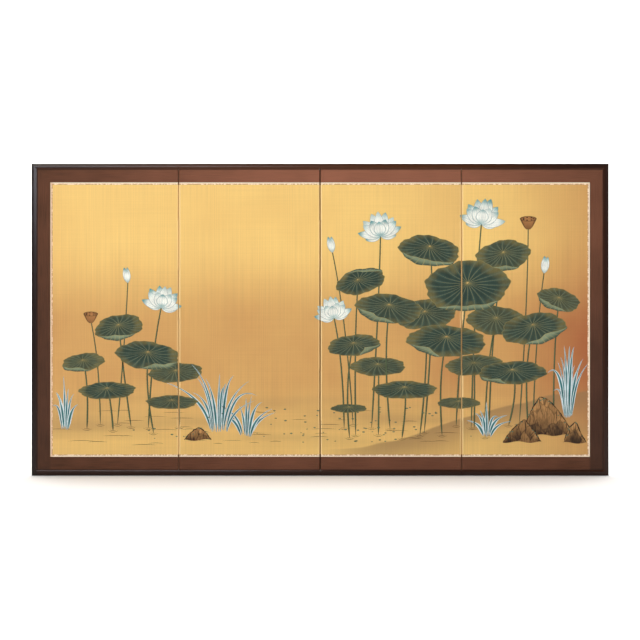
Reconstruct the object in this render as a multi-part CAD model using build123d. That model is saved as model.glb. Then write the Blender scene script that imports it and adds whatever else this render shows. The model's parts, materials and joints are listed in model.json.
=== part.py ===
"""Byobu: a folding screen of four equal panels, joined edge to edge by cloth and paper hinges.

Frame: +X runs along the flat screen to the viewer's right, +Y points away from the viewer, and
+Z is up. The origin is on the floor under the middle of the flat screen. The painted faces look
along -Y. Panels and seams are counted from the left. All sizes are in millimetres.
"""

import os

from build123d import *

# Overall
panel_count = 4
screen_height = 909.0
seam_pitch = 412.0  # from one seam to the next, and from an outer seam to the side moulding

# Lacquered moulding round the outside of the screen
moulding_width = 16.5  # across its face
moulding_depth = 20.0  # from the front crown to the back crown
moulding_crown = 1.1  # how far its front and back swell between their edges
moulding_round = 2.4  # outer long edges
moulding_bevel = 0.9  # inner long edges
rail_end_bevel = 0.5  # rail ends that meet at a seam
rail_end_gap = 0.3  # between the rail ends across a seam, screen flat

# Core of each panel
core_depth = 15.0
core_stile_width = 24.0
core_rail_width = 22.0
edge_round = 1.5  # long edges that the hinge straps turn round
tenon_thickness = 5.0
rail_tenon_length = 15.0
rail_tenon_shoulder = 4.0
lattice_uprights = 3
lattice_crossbars = 7
lattice_bar_width = 12.0
stub_length = 7.0  # stub tenons at the ends of the lattice bars
joinery_clearance = 0.1  # on each side of a tenon or lap
mortise_end_gap = 0.4  # past the end of a tenon

# Sheets glued over the core
under_paper = 0.6
silk = 0.4
fillet_width = 6.5
fillet_thickness = 0.6
border_width = 38.5
border_thickness = 0.5
back_cover = 0.4

# Hinges
hinge_gap = 4.4  # between the edges of two neighbouring cores
straps_per_seam = 6
strap_gap = 1.0  # between one strap and the next
leaf_width = 30.0  # the part of a strap that is glued to a face of the core
leaf_clearance = 0.2  # round a leaf in the under-paper
strap_slope = 45.0  # degrees at which a strap crosses its seam
strap_turn = 1.4  # bends round the core's edges, a little tighter than the edges themselves
strap_bend = 1.6  # where a strap meets the opposite edge
strap_stand_off = 0.15  # between a strap and the opposite edge

# Hidden nails, square and pointed at both ends
nail_width = 2.0
nail_in_core = 12.0
nail_in_moulding = 9.0
nail_point = 4.0
nails_per_side = 5

# Worked out from the sizes above
body_bottom = moulding_width
body_top = screen_height - moulding_width
core_face = core_depth / 2
paper_face = core_face + under_paper
sheet_end = hinge_gap / 2 + edge_round
last_panel = panel_count - 1


def line_x(i):
    """The seam, or the inner edge of the side moulding, on the left of panel i."""
    return (i - panel_count / 2) * seam_pitch


def left_x(i, inset, seam_inset):
    """Left edge of something on panel i: inset from the side moulding, or from a seam."""
    return line_x(i) + (inset if i == 0 else seam_inset)


def right_x(i, inset, seam_inset):
    return line_x(i + 1) - (inset if i == last_panel else seam_inset)


def outer_sides(i):
    """Sides of panel i that have a side moulding: -1 for the left and 1 for the right."""
    return [-1] * (i == 0) + [1] * (i == last_panel)


def block(x_range, y_range, z_range):
    size = [high - low for low, high in (x_range, y_range, z_range)]
    centre = [(low + high) / 2 for low, high in (x_range, y_range, z_range)]
    return Pos(*centre) * Box(*size)


def slab(outline, y_range):
    """A plate with this outline in X and Z."""
    low, high = y_range
    face = Plane.XZ * make_face(Polyline(*outline, close=True))
    return Pos(0, low, 0) * extrude(face, amount=high - low, dir=(0, 1, 0))


def group(solids):
    return Compound(children=[part.solid() for part in solids])


def evenly(low, high, count):
    """Centres of count pieces that share the space between low and high."""
    step = (high - low) / (count + 1)
    return [low + step * (k + 1) for k in range(count)]


def fields(low, high, count):
    """Middles of the fields that count pieces leave between low and high."""
    step = (high - low) / (count + 1)
    return [low + step * (k + 0.5) for k in range(count + 1)]


# Bands that run round the outside of the screen: moulding, border and fillet strip


def band_outlines(i, outer, width, seam_inset):
    """Outlines of a band on panel i, mitred at the screen's corners.

    outer is how far its outer edge lies inside the inner edge of the moulding.
    """
    inner = outer + width
    left = [left_x(i, inset, seam_inset) for inset in (outer, inner)]
    right = [right_x(i, inset, seam_inset) for inset in (outer, inner)]
    top = [body_top - inset for inset in (outer, inner)]
    bottom = [body_bottom + inset for inset in (outer, inner)]
    outlines = {
        "top": [(left[0], top[0]), (right[0], top[0]), (right[1], top[1]), (left[1], top[1])],
        "bottom": [
            (left[0], bottom[0]),
            (right[0], bottom[0]),
            (right[1], bottom[1]),
            (left[1], bottom[1]),
        ],
    }
    for side in outer_sides(i):
        x = left if side < 0 else right
        outlines["side"] = [(x[0], bottom[0]), (x[0], top[0]), (x[1], top[1]), (x[1], bottom[1])]
    return outlines


def moulding_profile():
    """Section of the moulding: X outwards from its inner edge, Y through its depth."""
    edge = moulding_depth / 2 - moulding_crown
    crown = moulding_depth / 2
    section = make_face(
        [
            Line((0, -edge), (0, edge)),
            ThreePointArc((0, edge), (moulding_width / 2, crown), (moulding_width, edge)),
            Line((moulding_width, edge), (moulding_width, -edge)),
            ThreePointArc((moulding_width, -edge), (moulding_width / 2, -crown), (0, -edge)),
        ]
    )
    corners = section.vertices().sort_by(Axis.X)
    section = chamfer(corners[:2], moulding_bevel)
    return fillet(section.vertices().group_by(Axis.X)[-1], moulding_round)


def moulding_piece(outline, origin, outwards, along, length):
    """The profile run along one side of the screen and cut to its mitred outline."""
    run = extrude(Plane(origin, x_dir=outwards, z_dir=along) * moulding_profile(), length)
    depth = moulding_depth
    return run & slab(outline, (-depth, depth))


def bevelled_rail_ends(rail, i):
    """Takes the sharp edges off the ends that meet at a seam."""
    ends = []
    if i > 0:
        ends += rail.faces().sort_by(Axis.X)[0].edges()
    if i < last_panel:
        ends += rail.faces().sort_by(Axis.X)[-1].edges()
    return chamfer(ends, rail_end_bevel)


def moulding(i):
    outlines = band_outlines(i, -moulding_width, moulding_width, rail_end_gap / 2)
    start = line_x(i) - moulding_width
    length = seam_pitch + 2 * moulding_width
    top = moulding_piece(outlines["top"], (start, 0, body_top), (0, 0, 1), (1, 0, 0), length)
    bottom = moulding_piece(
        outlines["bottom"], (start, 0, body_bottom), (0, 0, -1), (1, 0, 0), length
    )
    nails = nail_sets(i)
    pieces = {
        "top_rail": bevelled_rail_ends(top, i) - nails["top"],
        "bottom_rail": bevelled_rail_ends(bottom, i) - nails["bottom"],
    }
    for side in outer_sides(i):
        origin = (line_x(i) if side < 0 else line_x(i + 1), 0, 0)
        stile = moulding_piece(
            outlines["side"], origin, (side, 0, 0), (0, 0, 1), screen_height
        )
        pieces["side_stile"] = stile - nails["side"]
    return pieces


# Core: a tenoned frame round a half-lapped lattice


def clear_x(i):
    """Between the stiles of the core."""
    low = left_x(i, 0, hinge_gap / 2) + core_stile_width
    high = right_x(i, 0, hinge_gap / 2) - core_stile_width
    return low, high


def clear_z():
    """Between the rails of the core."""
    return body_bottom + core_rail_width, body_top - core_rail_width


def grown(span, by):
    return span[0] - by, span[1] + by


def about(centre, width):
    return centre - width / 2, centre + width / 2


def tenon(x_range, z_range, growth=0.0):
    return block(x_range, about(0, tenon_thickness + 2 * growth), z_range)


def core_rail(i, z_low):
    low, high = clear_x(i)
    z_range = (z_low, z_low + core_rail_width)
    rail = block((low, high), about(0, core_depth), z_range)
    tongue = grown(z_range, -rail_tenon_shoulder)
    rail += tenon(grown((low, high), rail_tenon_length), tongue)
    for x in evenly(low, high, lattice_uprights):
        cut = about(x, lattice_bar_width + 2 * joinery_clearance)
        rail -= tenon(cut, grown(clear_z(), stub_length + mortise_end_gap), joinery_clearance)
    return rail


def core_stile(i, x_low, hinged_side):
    x_range = (x_low, x_low + core_stile_width)
    stile = block(x_range, about(0, core_depth), (body_bottom, body_top))
    if hinged_side:
        upright = stile.edges().filter_by(Axis.Z).group_by(Axis.X)
        stile = fillet(upright[0] if hinged_side < 0 else upright[-1], edge_round)
    reach = grown(clear_x(i), rail_tenon_length + mortise_end_gap)
    for z_low in (body_bottom, body_top - core_rail_width):
        tongue = grown((z_low, z_low + core_rail_width), joinery_clearance - rail_tenon_shoulder)
        stile -= tenon(reach, tongue, joinery_clearance)
    reach = grown(clear_x(i), stub_length + mortise_end_gap)
    for z in evenly(*clear_z(), lattice_crossbars):
        cut = about(z, lattice_bar_width + 2 * joinery_clearance)
        stile -= tenon(reach, cut, joinery_clearance)
    return stile


def core_frame(i):
    low, high = clear_x(i)
    nails = nail_sets(i)
    stiles = [
        core_stile(i, low - core_stile_width, -1 if i > 0 else 0),
        core_stile(i, high, 1 if i < last_panel else 0),
    ]
    for side in outer_sides(i):
        k = 0 if side < 0 else 1
        stiles[k] -= nails["side"]
    bottom = core_rail(i, body_bottom) - nails["bottom"]
    top = core_rail(i, body_top - core_rail_width) - nails["top"]
    return {"core_stiles": group(stiles), "core_rails": group([bottom, top])}


def lattice(i):
    """Uprights and crossbars, each cut half through where they cross."""
    x_clear, z_clear = clear_x(i), clear_z()
    xs = evenly(*x_clear, lattice_uprights)
    zs = evenly(*z_clear, lattice_crossbars)
    lap = lattice_bar_width + 2 * joinery_clearance
    bars = []
    for x in xs:
        bar = block(about(x, lattice_bar_width), about(0, core_depth), z_clear)
        bar += tenon(about(x, lattice_bar_width), grown(z_clear, stub_length))
        for z in zs:
            bar -= block(about(x, 2 * lap), (-core_depth, joinery_clearance / 2), about(z, lap))
        bars.append(bar)
    for z in zs:
        bar = block(x_clear, about(0, core_depth), about(z, lattice_bar_width))
        bar += tenon(grown(x_clear, stub_length), about(z, lattice_bar_width))
        for x in xs:
            bar -= block(about(x, lap), (-joinery_clearance / 2, core_depth), about(z, 2 * lap))
        bars.append(bar)
    return {"lattice": group(bars)}


def nail():
    """Lies along Z, with the joint between core and moulding at Z = 0 and the core below."""
    half = nail_width / 2
    outline = [
        (0, -nail_in_core),
        (half, nail_point - nail_in_core),
        (half, nail_in_moulding - nail_point),
        (0, nail_in_moulding),
        (-half, nail_in_moulding - nail_point),
        (-half, nail_point - nail_in_core),
    ]
    return slab(outline, about(0, nail_width))


def nail_sets(i):
    """Nails of panel i, by the moulding that they hold."""
    xs = fields(*clear_x(i), lattice_uprights)
    zs = evenly(*clear_z(), nails_per_side)
    nails = {
        "top": [Pos(x, 0, body_top) * nail() for x in xs],
        "bottom": [Pos(x, 0, body_bottom) * Rot(0, 180, 0) * nail() for x in xs],
    }
    for side in outer_sides(i):
        x = line_x(i) if side < 0 else line_x(i + 1)
        nails["side"] = [Pos(x, 0, z) * Rot(0, 90 * side, 0) * nail() for z in zs]
    return nails


# Hinge straps, which change direction from one to the next


def strap_range(k):
    """Height range of strap k of a seam, counted from the bottom."""
    pitch = (body_top - body_bottom) / straps_per_seam
    low = body_bottom + k * pitch
    return low + strap_gap / 2, low + pitch - strap_gap / 2


def leaf_on_left_face(k):
    """True if the front leaf of strap k is on the panel to the left of its seam."""
    return k % 2 == 0


def opens_forwards(seam):
    """The outer seams fold with the painted faces inwards, and the middle one backwards."""
    return seam % 2 == 1


def strap_section():
    """Section of a strap that crosses at the front, from a left front leaf to a right back one.

    It turns round the left core's front edge, crosses the seam, lies against the right core's
    edge and turns round its back edge.
    """
    middle = core_face + under_paper / 2
    wall = (hinge_gap - under_paper) / 2 - strap_stand_off
    snug_turn = edge_round + under_paper / 2
    slope = Vector(1, 0).rotate(Axis.Z, strap_slope)
    half_turn = Vector(1, 0).rotate(Axis.Z, strap_slope / 2)
    crossing_x = snug_turn * half_turn.Y / half_turn.X - sheet_end
    crossing_y = (wall - crossing_x) * slope.Y / slope.X - middle
    path = FilletPolyline(
        (-sheet_end - leaf_width, -middle),
        (crossing_x, -middle),
        (wall, crossing_y),
        (wall, middle),
        (sheet_end + leaf_width, middle),
        radius=[strap_turn, strap_bend, strap_turn],
    )
    return trace(path, under_paper)


def straps(seam):
    """Straps of one seam in two sets, by the panel that has their front leaf.

    Both sets cross on the side of the pivot: at the front where the seam opens forwards, and at
    the back in the middle seam.
    """
    section = strap_section()
    crosses_behind = not opens_forwards(seam)
    sets = {True: [], False: []}
    for k in range(straps_per_seam):
        low, high = strap_range(k)
        on_left = leaf_on_left_face(k)
        shape = section
        if on_left == crosses_behind:
            shape = mirror(shape, Plane.YZ)
        if crosses_behind:
            shape = mirror(shape, Plane.XZ)
        strap = extrude(shape, amount=high - low, dir=(0, 0, 1))
        sets[on_left].append(Pos(line_x(seam), 0, low) * strap)
    return {"straps_from_left": group(sets[True]), "straps_from_right": group(sets[False])}


# Sheets glued over the core


def sheet(i, inset, y_range):
    """A sheet on panel i that stops this far inside the moulding."""
    left = left_x(i, inset, sheet_end)
    right = right_x(i, inset, sheet_end)
    bottom = body_bottom + inset
    top = body_top - inset
    return slab([(left, bottom), (right, bottom), (right, top), (left, top)], y_range)


def paper(i, front):
    """Layers of under-paper, cut out round the hinge leaves that lie on this face."""
    y_range = (-paper_face, -core_face) if front else (core_face, paper_face)
    plate = sheet(i, 0, y_range)
    for seam in (i, i + 1):
        if seam in (0, panel_count):
            continue
        on_left_of_seam = seam == i + 1
        inwards = -1 if on_left_of_seam else 1
        reach = line_x(seam) + inwards * (sheet_end + leaf_width + leaf_clearance)
        x_range = sorted((line_x(seam), reach))
        for k in range(straps_per_seam):
            leaf_here = leaf_on_left_face(k) == (on_left_of_seam == front)
            if leaf_here:
                z_range = grown(strap_range(k), leaf_clearance)
                plate -= block(x_range, grown(y_range, under_paper), z_range)
    return plate


def strips(i, outer, width, thickness):
    """Border or fillet strips of panel i, as separate pieces."""
    y_range = (-paper_face - thickness, -paper_face)
    outlines = band_outlines(i, outer, width, sheet_end)
    return group([slab(outline, y_range) for outline in outlines.values()])


def sheets(i):
    picture_inset = border_width + fillet_width
    return {
        "front_paper": paper(i, True),
        "back_paper": paper(i, False),
        "silk": sheet(i, picture_inset, (-paper_face - silk, -paper_face)),
        "fillet": strips(i, border_width, fillet_width, fillet_thickness),
        "border": strips(i, 0, border_width, border_thickness),
        "back_cover": sheet(i, 0, (paper_face, paper_face + back_cover)),
    }


def panel(i):
    nails = [nail for side in nail_sets(i).values() for nail in side]
    nodes = {**moulding(i), **core_frame(i), **lattice(i), **sheets(i), "nails": group(nails)}
    return {f"panel_{i + 1}_{name}": shape for name, shape in nodes.items()}


def screen():
    nodes = {}
    for i in range(panel_count):
        nodes.update(panel(i))
    seam_names = ("left", "middle", "right")
    for seam, seam_name in enumerate(seam_names, start=1):
        for name, shape in straps(seam).items():
            nodes[f"{seam_name}_hinge_{name}"] = shape
    return nodes


os.makedirs("parts", exist_ok=True)
for node_name, node in screen().items():
    export_step(node, f"parts/{node_name}.step")
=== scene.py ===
"""Byobu folding screen: its finishes, sheets, hinges, painting and stage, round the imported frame.

Frame: +X runs along the flat screen to the viewer's right, +Y points away from the viewer and +Z
is up, in metres. Panels and seams are counted from the left, and the painted faces look along -Y.
"""

import json
import math
import random
from functools import partial
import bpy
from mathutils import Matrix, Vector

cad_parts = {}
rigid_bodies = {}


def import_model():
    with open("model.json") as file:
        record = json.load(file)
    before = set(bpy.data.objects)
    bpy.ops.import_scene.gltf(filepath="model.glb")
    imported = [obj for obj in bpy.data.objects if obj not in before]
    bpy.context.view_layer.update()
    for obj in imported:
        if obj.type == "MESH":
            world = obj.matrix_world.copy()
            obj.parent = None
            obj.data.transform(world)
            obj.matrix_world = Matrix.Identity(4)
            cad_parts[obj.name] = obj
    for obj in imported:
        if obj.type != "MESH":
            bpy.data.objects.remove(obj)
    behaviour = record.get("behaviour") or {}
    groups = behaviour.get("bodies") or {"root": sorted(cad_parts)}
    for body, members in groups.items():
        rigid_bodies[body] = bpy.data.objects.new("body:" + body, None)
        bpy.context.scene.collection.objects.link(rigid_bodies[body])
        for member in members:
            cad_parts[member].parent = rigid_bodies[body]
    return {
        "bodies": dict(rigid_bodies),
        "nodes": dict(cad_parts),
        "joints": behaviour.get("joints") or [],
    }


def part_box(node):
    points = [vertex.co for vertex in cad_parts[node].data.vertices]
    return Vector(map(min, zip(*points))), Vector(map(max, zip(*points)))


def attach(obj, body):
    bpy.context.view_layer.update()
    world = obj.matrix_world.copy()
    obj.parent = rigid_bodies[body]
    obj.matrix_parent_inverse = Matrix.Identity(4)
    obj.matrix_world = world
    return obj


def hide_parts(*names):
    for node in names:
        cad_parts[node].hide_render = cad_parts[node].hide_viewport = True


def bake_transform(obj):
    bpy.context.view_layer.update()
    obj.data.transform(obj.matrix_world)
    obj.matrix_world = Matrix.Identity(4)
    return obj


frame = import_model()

from types import SimpleNamespace

import bmesh
import bpy
import numpy as np
from bpy.props import FloatProperty, FloatVectorProperty, IntProperty, PointerProperty
from mathutils import Vector, noise

bl_info = {
    "name": "Byobu folding screen",
    "version": (1, 0, 0),
    "blender": (4, 5, 0),
    "location": "3D View > Sidebar > Byobu",
    "description": "Finishes, sheets, hinges and painting of a four-panel folding screen",
    "category": "Object",
}

MM = 0.001
SEAM_NAMES = ("left", "middle", "right")
STRAPS_PER_SEAM = 6
FRONT, BACK = -1, 1

# Sizes of the frame's pieces that their boxes don't give, as the frame was built
EDGE_ROUND = 1.5 * MM  # long edges of the cores at the seams
RAIL_END_GAP = 0.3 * MM  # across a seam
# Beads on the rail ends close the slit at each seam, a dark stand-in for its shade
LACQUER_BEAD = RAIL_END_GAP / 2 - 0.01 * MM
STRAP_GAP = 1.0 * MM
STRAP_THICKNESS = 0.6 * MM
STRAP_TURN = 1.4 * MM
STRAP_BEND = 1.6 * MM
STRAP_SLOPE = math.radians(45)
STRAP_STAND_OFF = 0.15 * MM
LEAF_WIDTH = 30.0 * MM
FRAY = 0.49 * MM  # how far a strap's cloth stands past its ends inside the seam

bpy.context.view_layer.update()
PANELS = sorted(frame["bodies"])
PANEL_NUMBERS = range(1, len(PANELS) + 1)
SEAM_X = sorted(joint["pos_m"][0] for joint in frame["joints"])


def frame_sizes():
    """Heights, depths and edges of the frame that the pieces are fitted to."""
    paper_low, paper_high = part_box("panel_2_front_paper")
    silk_low, silk_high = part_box("panel_2_silk")
    border_low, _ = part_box("panel_2_border")
    fillet_low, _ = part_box("panel_2_fillet")
    _, cover_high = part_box("panel_2_back_cover")
    _, core_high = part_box("panel_2_core_stiles")
    outer_low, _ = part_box("panel_1_front_paper")
    _, outer_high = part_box("panel_4_front_paper")
    pitch = SEAM_X[1] - SEAM_X[0]
    return SimpleNamespace(
        body_bottom=paper_low.z,
        body_top=paper_high.z,
        body_left=outer_low.x,
        body_right=outer_high.x,
        pitch=pitch,
        core_face=core_high.y,
        paper_face=-paper_low.y,
        silk_face=-silk_low.y,
        border_face=-border_low.y,
        fillet_face=-fillet_low.y,
        cover_face=cover_high.y,
        picture_bottom=silk_low.z,
        picture_top=silk_high.z,
        picture_inset=silk_low.z - paper_low.z,
        border_width=fillet_low.z - paper_low.z,
        sheet_end=SEAM_X[1] - paper_high.x,
        core_end=SEAM_X[1] - core_high.x,
        strap_pitch=(paper_high.z - paper_low.z) / STRAPS_PER_SEAM,
    )


SIZES = frame_sizes()


def linear(code):
    """An sRGB hex colour, such as #f2cb7a, as linear RGBA."""
    values = [int(code[k : k + 2], 16) / 255 for k in (1, 3, 5)]
    return [v / 12.92 if v <= 0.04045 else ((v + 0.055) / 1.055) ** 2.4 for v in values] + [1.0]


def colour(name, code, description):
    return FloatVectorProperty(
        name=name, description=description, default=linear(code),
        subtype="COLOR", size=4, min=0, max=1,
    )


def length(name, millimetres, description):
    return FloatProperty(
        name=name, description=description, default=millimetres * MM, unit="LENGTH", precision=5,
    )


# Settings


class ByobuSizes(bpy.types.PropertyGroup):
    """Sizes of the cloth, the pattern and the paint."""

    thread_pitch: length("Thread pitch", 1.5, "Spacing of the threads drawn in the border cloth")
    edge_roll: length("Edge roll", 1.6, "Width of the border's turned inner edge")
    cord_width: length("Cord width", 3.6, "Width of the fillet's twisted white edge")
    cord_twist: length("Cord twist", 6.4, "Length of one twist along the fillet")
    wave_width: length("Wave width", 44.0, "Width of one wave in the back paper's print")
    paint_step: length("Paint step", 0.07, "Height of one layer of paint over the next")
    stem_width: length("Stem width", 5.0, "Width of a painted lotus stem")
    vein_count: IntProperty(name="Veins", description="Veins of a painted leaf", default=17, min=7)


class ByobuColours(bpy.types.PropertyGroup):
    """Colours of the finishes, the cloth and the pigments."""

    lacquer: colour("Lacquer", "#2a140a", "Brown-black lacquer of the moulding")
    # Also the colour of the painted light along the top of the moulding
    lacquer_worn: colour("Worn lacquer", "#663817", "Lacquer where it is rubbed thin")
    silk_light: colour("Silk, light", "#f1c976", "Gold silk where it keeps its colour")
    # Also the colour that the painted shade mixes towards
    silk_shade: colour("Silk, shade", "#a1582f", "Gold silk where age and dust have browned it")
    # Also a painted highlight on the turned hinge edges
    silk_worn: colour("Silk, worn", "#ffe0a0", "Silk rubbed pale along the hinge edges")
    # Brighter than the silk could look in the seams: painted light that offsets their shade
    silk_hinge: colour("Silk, hinge", "#ffb564", "Silk of the straps inside the hinges")
    wash: colour("Ink wash", "#8f6f48", "Thin brown-grey wash of the bank and the water")
    border_light: colour("Border, light", "#945d45", "Brown border cloth, light threads")
    border_dark: colour("Border, dark", "#45260f", "Brown border cloth, dark threads")
    border_edge: colour("Border edge", "#43150a", "Dye gathered along the turned edge")
    fillet_white: colour("Fillet, white", "#fff1dd", "Off-white silk of the narrow fillet strip")
    fillet_gold: colour("Fillet, gold", "#b58a5c", "Gold-brown threads of the fillet strip")
    back_paper: colour("Back paper", "#4b5550", "Grey-green printed paper of the back")
    back_print: colour("Back print", "#7c877c", "Mica print on the back paper")
    cedar: colour("Cedar", "#c09a6b", "Cedar of the core")
    washi: colour("Under-paper", "#dccfb2", "Mulberry under-paper")
    iron: colour("Iron", "#3d3936", "Forged iron of the hidden nails")
    leaf_deep: colour("Leaf, deep", "#2c3f38", "Dark blue-green mineral pigment of the leaves")
    leaf_rim: colour("Leaf, rim", "#6d6640", "Olive-brown margin of the leaves")
    leaf_under: colour("Leaf, underside", "#7f8d70", "Pale underside of a turned leaf margin")
    petal: colour("Petal", "#eef0e6", "Shell white of the blossoms")
    petal_tip: colour("Petal tip", "#5f9a9c", "Blue-green tips and shaded bases of the petals")
    reed: colour("Reed", "#2f6f70", "Teal of the reed blades")
    reed_edge: colour("Reed edge", "#dbe7ea", "Bluish white edges of the reed blades")
    rock: colour("Rock", "#b07a48", "Earth brown of the rocks and seed heads")
    ink: colour("Ink", "#241d18", "Soot ink of the outlines")
    floor: colour("Floor", "#f4f2ef", "Pale floor and backdrop of the stage")


# Meshes


CREASE = 35.0  # degrees between two faces that look sharp


class Shape:
    """Gathers the faces of a piece, with two UVs at each corner, a tone at each point and the
    number of each face's finish.

    The picture UV is a point's rest place (x, z) in metres with turned edges laid flat. The strip
    UV runs along and across a strip, strap, leaf or stroke.
    """

    def __init__(self, tone=0.0):
        self.tone = tone
        self.points, self.tones, self.faces, self.finishes = [], [], [], []
        self.picture_uv, self.strip_uv = [], []

    def grid(self, points, picture_uv, strip_uv, finish=0, flip=False):
        """Adds the quads of a grid of points, rows x columns x 3, with its UV grids."""
        first = len(self.points)
        rows, columns = points.shape[:2]
        self.points.extend(points.reshape(-1, 3).tolist())
        self.tones.extend([self.tone] * (rows * columns))
        uvs = picture_uv.reshape(-1, 2).tolist(), strip_uv.reshape(-1, 2).tolist()
        for r in range(rows - 1):
            for c in range(columns - 1):
                a = r * columns + c
                corners = [a, a + 1, a + columns + 1, a + columns]
                if flip:
                    corners.reverse()
                kind = finish if isinstance(finish, int) else int(finish[r][c])
                self.face(first, corners, uvs, kind)
        return first

    def face(self, first, corners, uvs, finish):
        self.faces.append([first + k for k in corners])
        self.picture_uv.extend(uvs[0][k] for k in corners)
        self.strip_uv.extend(uvs[1][k] for k in corners)
        self.finishes.append(finish)

    def slab(self, front, back, picture_uv, strip_uv, finish=0, back_finish=None):
        """Adds a closed sheet between two grids of points, which share their UVs."""
        rows, columns = front.shape[:2]
        count = rows * columns
        first = self.grid(front, picture_uv, strip_uv, finish)
        back_finish = finish if back_finish is None else back_finish
        self.grid(back, picture_uv, strip_uv, back_finish, flip=True)
        rim = list(range(columns - 1))
        rim += [r * columns + columns - 1 for r in range(rows - 1)]
        rim += [(rows - 1) * columns + c for c in range(columns - 1, 0, -1)]
        rim += [r * columns for r in range(rows - 1, 0, -1)]
        uvs = [np.tile(uv.reshape(-1, 2), (2, 1)).tolist() for uv in (picture_uv, strip_uv)]
        for a, b in zip(rim, rim[1:] + rim[:1]):
            row, column = min(a // columns, rows - 2), min(a % columns, columns - 2)
            kind = finish if isinstance(finish, int) else int(finish[row][column])
            self.face(first, [b, a, a + count, b + count], uvs, kind)

    def mesh(self, name):
        mesh = bpy.data.meshes.new(name)
        mesh.from_pydata(self.points, [], self.faces)
        mesh.uv_layers.new(name="picture").data.foreach_set("uv", np.ravel(self.picture_uv))
        mesh.uv_layers.new(name="strip").data.foreach_set("uv", np.ravel(self.strip_uv))
        mesh.attributes.new("tone", "FLOAT", "POINT").data.foreach_set("value", self.tones)
        mesh.polygons.foreach_set("material_index", self.finishes)
        return mesh

    def make(self, name, materials, crease=CREASE):
        """The finished object, smooth but for edges sharper than crease degrees."""
        work = bmesh.new()
        mesh = self.mesh(name)
        work.from_mesh(mesh)
        return finished(name, mesh, work, materials, crease)


def finished(name, mesh, work, materials, crease=CREASE):
    """Writes the worked mesh back, cleaned and shaded, and makes its object."""
    bmesh.ops.remove_doubles(work, verts=work.verts, dist=1e-7)
    bmesh.ops.dissolve_degenerate(work, edges=work.edges, dist=1e-7)
    bmesh.ops.recalc_face_normals(work, faces=work.faces)
    work.to_mesh(mesh)
    work.free()
    mesh.shade_smooth()
    mesh.set_sharp_from_angle(angle=math.radians(crease))
    for material in materials:
        mesh.materials.append(material)
    piece = bpy.data.objects.new(name, mesh)
    bpy.context.scene.collection.objects.link(piece)
    return piece


def spaced(low, high, step):
    """Evenly spaced values from low to high, no further apart than step."""
    return np.linspace(low, high, max(2, math.ceil((high - low) / step) + 1))


def strap_range(k):
    low = SIZES.body_bottom + k * SIZES.strap_pitch
    return low + STRAP_GAP / 2, low + SIZES.strap_pitch - STRAP_GAP / 2


def heights(low, high, step):
    """Heights for a sheet beside a seam: even rows, with a row at each strap's ends."""
    ends = [z for k in range(STRAPS_PER_SEAM) for z in strap_range(k)]
    rows = [z for z in spaced(low, high, step) if min(abs(z - e) for e in ends) > STRAP_GAP]
    return np.array(sorted({low, high, *rows, *(e for e in ends if low < e < high)}))


def strap_at(z):
    """Number of the strap at this height, counted from the bottom."""
    return min(STRAPS_PER_SEAM - 1, max(0, int((z - SIZES.body_bottom) / SIZES.strap_pitch)))


def lies_on_strap(z, left_of_seam, face):
    """True where the leaf of the strap at this height lies under this sheet's hinge edge."""
    leaf_on_left_front = strap_at(z) % 2 == 0
    return leaf_on_left_front == (left_of_seam == (face == FRONT))


TURN_STEPS = 9
TURN_ON_STRAP = 46  # degrees that a sheet turns where it lies on a strap
ROUND_SHARE = 0.75  # share of the steps that go round the bend, where the rest go down the edge
SNUG = 0.12 * MM  # from the core's edge to the sheet that covers it
THINNED = 0.09 * MM  # thickness of a sheet there, between the cores
WALL_REST = 0.3 * MM  # how far short of the core's other bend a turned sheet stops


def turned_edge(surface, thickness, on_strap):
    """Path of a sheet past its flat part, in rows of an outer point, an inner point and a run.

    A point is how far it lies towards the seam and from the middle of the core, and the run is
    the length along the sheet so far. Over a strap's leaf the sheet stops half-way round the
    bend. Elsewhere it goes round and covers the core's whole edge, so that no wood shows.
    """
    centre = SIZES.core_face - EDGE_ROUND
    start = surface - centre
    rows, run, last = [], 0.0, (0.0, surface)
    for k in range(1, TURN_STEPS + 1):
        t = k / TURN_STEPS
        radius, thick, drop = start, thickness, 0.0
        if on_strap:
            angle = math.radians(90 - TURN_ON_STRAP * t)
        else:
            turn = min(1.0, t / ROUND_SHARE)
            angle = math.radians(90 - 90 * turn)
            radius += (EDGE_ROUND + SNUG - start) * turn**1.5
            thick += (THINNED - thickness) * turn**0.8
            drop = max(0.0, (t - ROUND_SHARE) / (1 - ROUND_SHARE)) * (2 * centre - WALL_REST)
        out = math.cos(angle), math.sin(angle)
        point = (radius * out[0], centre + radius * out[1] - drop)
        run += math.dist(last, point)
        last = point
        rows.append((point, (point[0] - thick * out[0], point[1] - thick * out[1]), run))
    return rows


def hinged_sheet(x_range, zs, surface, thickness, face, hinges, flat_step, relief):
    """Front and back grids and picture UVs of a sheet that turns round its panel's hinge edges.

    x_range gives its flat part at a height, hinges says which of its sides (-1, 1) are at a seam,
    and relief gives how far its surface sinks at (x, z). A front sheet's UV stops at the seam.
    """
    longest = SIZES.sheet_end if face == FRONT else 1.0
    count = len(spaced(*x_range(zs[len(zs) // 2]), flat_step))
    front, back, uv = [], [], []
    for z in zs:
        low, high = x_range(z)
        xs = np.linspace(low, high, count)
        outer = [(x, surface - relief(x, z), x) for x in xs]
        inner = [(x, surface - thickness) for x in xs]
        for side in hinges:
            turned = turned_edge(surface, thickness, lies_on_strap(z, side > 0, face))
            edge = high if side > 0 else low
            past = [(edge + side * p[0], p[1], edge + side * min(run, longest))
                    for p, _, run in turned]
            under = [(edge + side * q[0], q[1]) for _, q, _ in turned]
            outer = outer + past if side > 0 else past[::-1] + outer
            inner = inner + under if side > 0 else under[::-1] + inner
        front.append([(x, face * depth, z) for x, depth, _ in outer])
        back.append([(x, face * depth, z) for x, depth in inner])
        uv.append([(u, z) for _, _, u in outer])
    return np.array(front), np.array(back), np.array(uv)


def hinge_sides(i):
    """Sides of panel i, counted from 1, that are at a seam."""
    return [side for side, last in ((-1, 1), (1, len(PANELS))) if i != last]


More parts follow.
